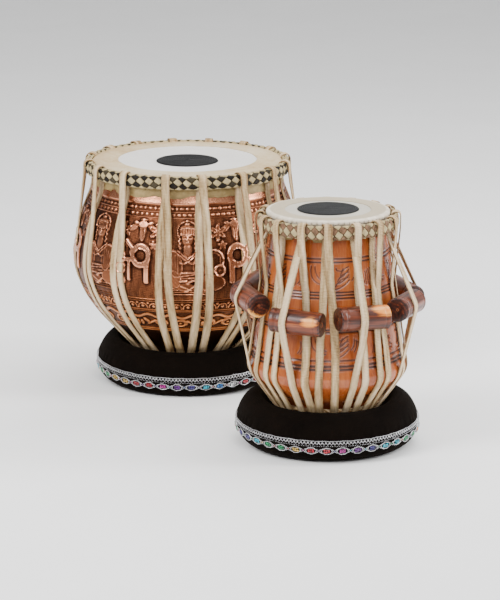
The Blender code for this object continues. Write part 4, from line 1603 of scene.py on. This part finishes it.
def add_wire(wires, path, thick, closed=True):
    """A wire of this radius along a path of points that have a way out in their last three columns."""
    centre, out = path[:, :3], path[:, 3:]
    round_loop = np.roll(centre, -1, axis=0) - np.roll(centre, 1, axis=0)
    ahead = unit(round_loop if closed else np.gradient(centre, axis=0))
    across = unit(np.cross(ahead, out))
    out = np.cross(across, ahead)
    turn = turns(5)[:, None]
    ring = across[:, None, :] * np.cos(turn) + out[:, None, :] * np.sin(turn)
    wires.take(centre[:, None, :] + ring * thick, closed)


def add_bead(beads, at, size_mm, rows=3, around=6, hue=None):
    """A flattened bead. at is its middle with its way out; its size is across, up and out."""
    centre, out = at[:3], at[3:]
    side = unit(np.cross([0.0, 0.0, 1.0], out))
    axes = np.array([side, np.cross(out, side), out]) * np.array(size_mm)[:, None] * MM
    lat, lon = np.linspace(-math.pi / 2, math.pi / 2, rows + 2)[:, None], turns(around)
    shape = np.stack([np.cos(lat) * np.cos(lon), np.cos(lat) * np.sin(lon), np.sin(lat) + 0 * lon], axis=-1)
    hues = {} if hue is None else {"hue": np.tile(hue, ((rows + 2) * around, 1))}
    beads.take(centre + shape @ axes, **hues)


INDIGO, PURPLE, CYAN, GREEN = (0.030, 0.020, 0.17), (0.12, 0.015, 0.20), (0.0, 0.36, 0.47), (0.0, 0.23, 0.075)
GOLD, RED, MAGENTA, ORANGE = (0.62, 0.40, 0.07), (0.40, 0.008, 0.022), (0.42, 0.008, 0.24), (0.62, 0.17, 0.02)
CLEAR, BLUE = (0.60, 0.60, 0.62), (0.0, 0.13, 0.40)
STONES = {
    "bayan": [CYAN, GREEN, GREEN, GOLD, GOLD, RED, RED, MAGENTA]
    + [PURPLE, INDIGO, CYAN, BLUE, CLEAR, RED, RED, MAGENTA],
    "dayan": [INDIGO, INDIGO, CYAN, GREEN, GREEN, GOLD, RED, RED]
    + [MAGENTA, PURPLE, INDIGO, CYAN, CYAN, GREEN, GREEN, ORANGE],
}
# Heights above the middle of the stones, and the zigzag's own half height.
CORD_MM, ZIGZAG_MM, BEADS_MM, WAVE_MM = 11.4, 8.9, 5.6, 1.7
ZIGZAG_PITCH = 0.0042
STONE_PITCH_MM = 18.2
CORD_WIRE, ZIGZAG_WIRE, LOOP_WIRE, LINK_WIRE = 0.36 * MM, 0.30 * MM, 0.42 * MM, 0.36 * MM


def on_band(pad, degrees, above_mm, out_mm=0.0):
    """Points on the trim, each with its way out. Heights are above the middle of the stones."""
    turn = np.radians(np.asarray(degrees, float))
    z = (pad.stones_mm + np.asarray(above_mm, float) + 0 * turn) * MM
    radius = pad.reach + (out_mm - 0.010 * np.abs(z / MM - 25.0) ** 2) * MM
    centre = rings(pad.x, radius, z, turn)
    centre[..., 2] += sagged(centre[..., 0], centre[..., 1], z, pad)
    return np.concatenate([centre, rings(0, 1.0, 0 * z, turn)], axis=-1)


def braid(silver, pad):
    """The cord, the zigzag with its beads, and the row of small beads under them."""
    ring = np.arange(420) / 420 * 360
    fuzz = 0.15 * np.sin(np.radians(ring * 31)) + 0.10 * np.sin(np.radians(ring * 53))
    add_wire(silver, on_band(pad, ring, CORD_MM + fuzz, 0.1), CORD_WIRE)
    zigzags = int(round(2 * math.pi * pad.reach / ZIGZAG_PITCH))
    step = np.arange(zigzags * 8) / 8
    wave = np.clip(1.25 * np.arcsin(np.sin(step * 2 * math.pi)) / (math.pi / 2), -1, 1)
    add_wire(silver, on_band(pad, step / zigzags * 360, ZIGZAG_MM + wave * WAVE_MM, 0.2), ZIGZAG_WIRE)
    for bead in range(zigzags):
        at = on_band(pad, (bead + 0.25) / zigzags * 360, ZIGZAG_MM + 0.5, 0.35)
        add_bead(silver, at, (0.80, 1.0, 0.7))
    for bead in range(2 * zigzags):
        add_bead(silver, on_band(pad, bead / zigzags * 180, BEADS_MM, 0.1), (0.34, 0.62, 0.40))


def trim(pad):
    """Silver braid sewn round a cushion, over wire loops that hold stones and are linked by crossed wires."""
    silver, glass = Gathered(), Gathered()
    braid(silver, pad)
    random = np.random.default_rng(pad.seed)
    colours = STONES[pad.side]
    pitch = 360 / pad.stones
    per_mm = math.degrees(MM / pad.reach)
    turn, link = turns(48), np.linspace(0, 1, 12)
    for stone in range(pad.stones):
        at = pad.first_stone_deg + stone * pitch
        jitter = random.uniform(-0.4, 0.4, 4)
        z = 0.7 * jitter[0]
        wide, tall = 6.3 + jitter[1], 3.7 + 0.6 * jitter[2]
        lobes = 1 + 0.045 * np.cos(turn * 7 + jitter[3] * 5)
        loop_deg = at + wide * lobes * np.cos(turn) * per_mm
        add_wire(silver, on_band(pad, loop_deg, z + tall * lobes * np.sin(turn), 0.25), LOOP_WIRE)
        link_deg = at + (wide - 0.4 + link * (STONE_PITCH_MM - 2 * wide + 0.8)) * per_mm
        for lean in (-1, 1):
            crossing = z + lean * 2.0 * np.cos(link * math.pi)
            add_wire(silver, on_band(pad, link_deg, crossing, 0.1), LINK_WIRE, closed=False)
        hue = np.array(colours[stone % len(colours)])
        for bead in range(6):
            dx, dz = ((bead % 3) - 1) * 2.6, (bead // 3 - 0.5) * 2.3
            shade = np.clip(hue * random.uniform(0.35, 1.25), 0, 1)
            bead_deg = at + (dx + random.uniform(-0.4, 0.4)) * per_mm
            bead_at = on_band(pad, bead_deg, z + dz + random.uniform(-0.3, 0.3), 0.2)
            add_bead(glass, bead_at, (1.45, 1.25, 0.95), 4, 7, shade)
        dot = np.array(colours[(stone + 3) % len(colours)])
        add_bead(glass, on_band(pad, at + pitch / 2, 0.2 + jitter[0], 0.3), (0.85, 0.85, 0.8), 4, 7, dot)
    body = f"{pad.side}_cushion"
    silver.piece(f"{pad.side}_trim_silver", body, SILVER, "silver_lace", f"{body}_trim")
    glass.piece(f"{pad.side}_trim_stones", body, STONE, "silver_lace", f"{body}_trim")


# ---------------------------------------------------------------- the set

copper_shell()
for name, facts in WOOD_SECTIONS.items():
    wooden_section(name, *facts)
for make in (head, plaited_hoop, bottom_ring):
    make(BAYAN)
    make(DAYAN)
bayan_lace()
dayan_lace()
for block in range(8):
    tuning_block(block)
for make in (cushion, trim):
    make(BAYAN_CUSHION)
    make(DAYAN_CUSHION)


# ---------------------------------------------------------------- stage, light and camera

CAMERA_WAY = (-0.87738, 0.47978)  # the way that the camera looks, seen from above
CAMERA_PITCH = math.radians(13.1735)
CAMERA_LENS = 208.98
CAMERA_FROM_BAYAN = (3.7886, -1.9827, 1.0986)  # from the bass drum's axis, at the floor
LAMPS_AIM_AT = Vector((0, 0, 0.16))
SKY_STRENGTH = 0.9
FLOOR_EDGE = 14.0
BACKDROP, BACKDROP_CURVE, BACKDROP_TOP = 5.0, 1.5, 9.0


def stage():
    """A pale floor that curves up into a backdrop behind the set."""
    curve = arc((BACKDROP, BACKDROP_CURVE), BACKDROP_CURVE, math.degrees(0.1) - 90, 0, 8)
    wall = [(-FLOOR_EDGE, 0.0), (BACKDROP, 0.0), *curve, (BACKDROP + BACKDROP_CURVE, BACKDROP_TOP)]
    points = [(u, side * FLOOR_EDGE, z) for side in (-1, 1) for u, z in wall]
    count = len(wall)
    floor = bpy.data.meshes.new("floor")
    floor.from_pydata(points, [], [(i, i + 1, count + i + 1, count + i) for i in range(count - 1)])
    floor.shade_smooth()
    floor.materials.append(floor_paper())
    made = linked("floor", floor)
    made.rotation_euler = (0, 0, math.atan2(CAMERA_WAY[1], CAMERA_WAY[0]))


def softbox(name, azimuth_deg, distance, height, size, power):
    """A soft lamp aimed at the set; its azimuth is from the camera's side, positive to the right."""
    light = bpy.data.lights.new(name, "AREA")
    light.shape = "RECTANGLE"
    light.size, light.size_y = size
    light.energy = power
    turn = math.radians(FACING_DEG + azimuth_deg)
    made = linked(name, light)
    made.location = (distance * math.cos(turn), distance * math.sin(turn), height)
    made.rotation_euler = (LAMPS_AIM_AT - made.location).to_track_quat("-Z", "Y").to_euler()


def lighting():
    softbox("key", -50, 1.7, 1.45, (0.8, 1.2), 46)
    softbox("side", 84, 1.5, 0.8, (0.45, 1.3), 26)
    softbox("front", 10, 2.6, 1.9, (1.0, 0.8), 30)
    softbox("top", 150, 1.0, 2.1, (1.8, 1.4), 40)
    world = bpy.data.worlds.new("studio")
    bpy.context.scene.world = world
    world.use_nodes = True
    n = Nodes(world.node_tree)
    height = n.add("SeparateXYZ", {0: n.add("TexCoord", {}, "Generated")}, 2)
    sky = n.ramp(height, (0.0, 0.30), (0.30, 0.55), (0.75, 1.0))
    n.fill(world.node_tree.nodes["Background"].inputs, {"Color": sky, "Strength": SKY_STRENGTH})


def camera():
    data = bpy.data.cameras.new("camera")
    data.sensor_width = 36
    data.lens = CAMERA_LENS
    made = linked("camera", data)
    made.location = Vector(CAMERA_FROM_BAYAN) + Vector((BAYAN.x, 0, 0))
    level_share = math.cos(CAMERA_PITCH)
    ahead = Vector((CAMERA_WAY[0] * level_share, CAMERA_WAY[1] * level_share, -math.sin(CAMERA_PITCH)))
    made.rotation_euler = ahead.to_track_quat("-Z", "Y").to_euler()
    bpy.context.scene.camera = made


stage()
lighting()
camera()
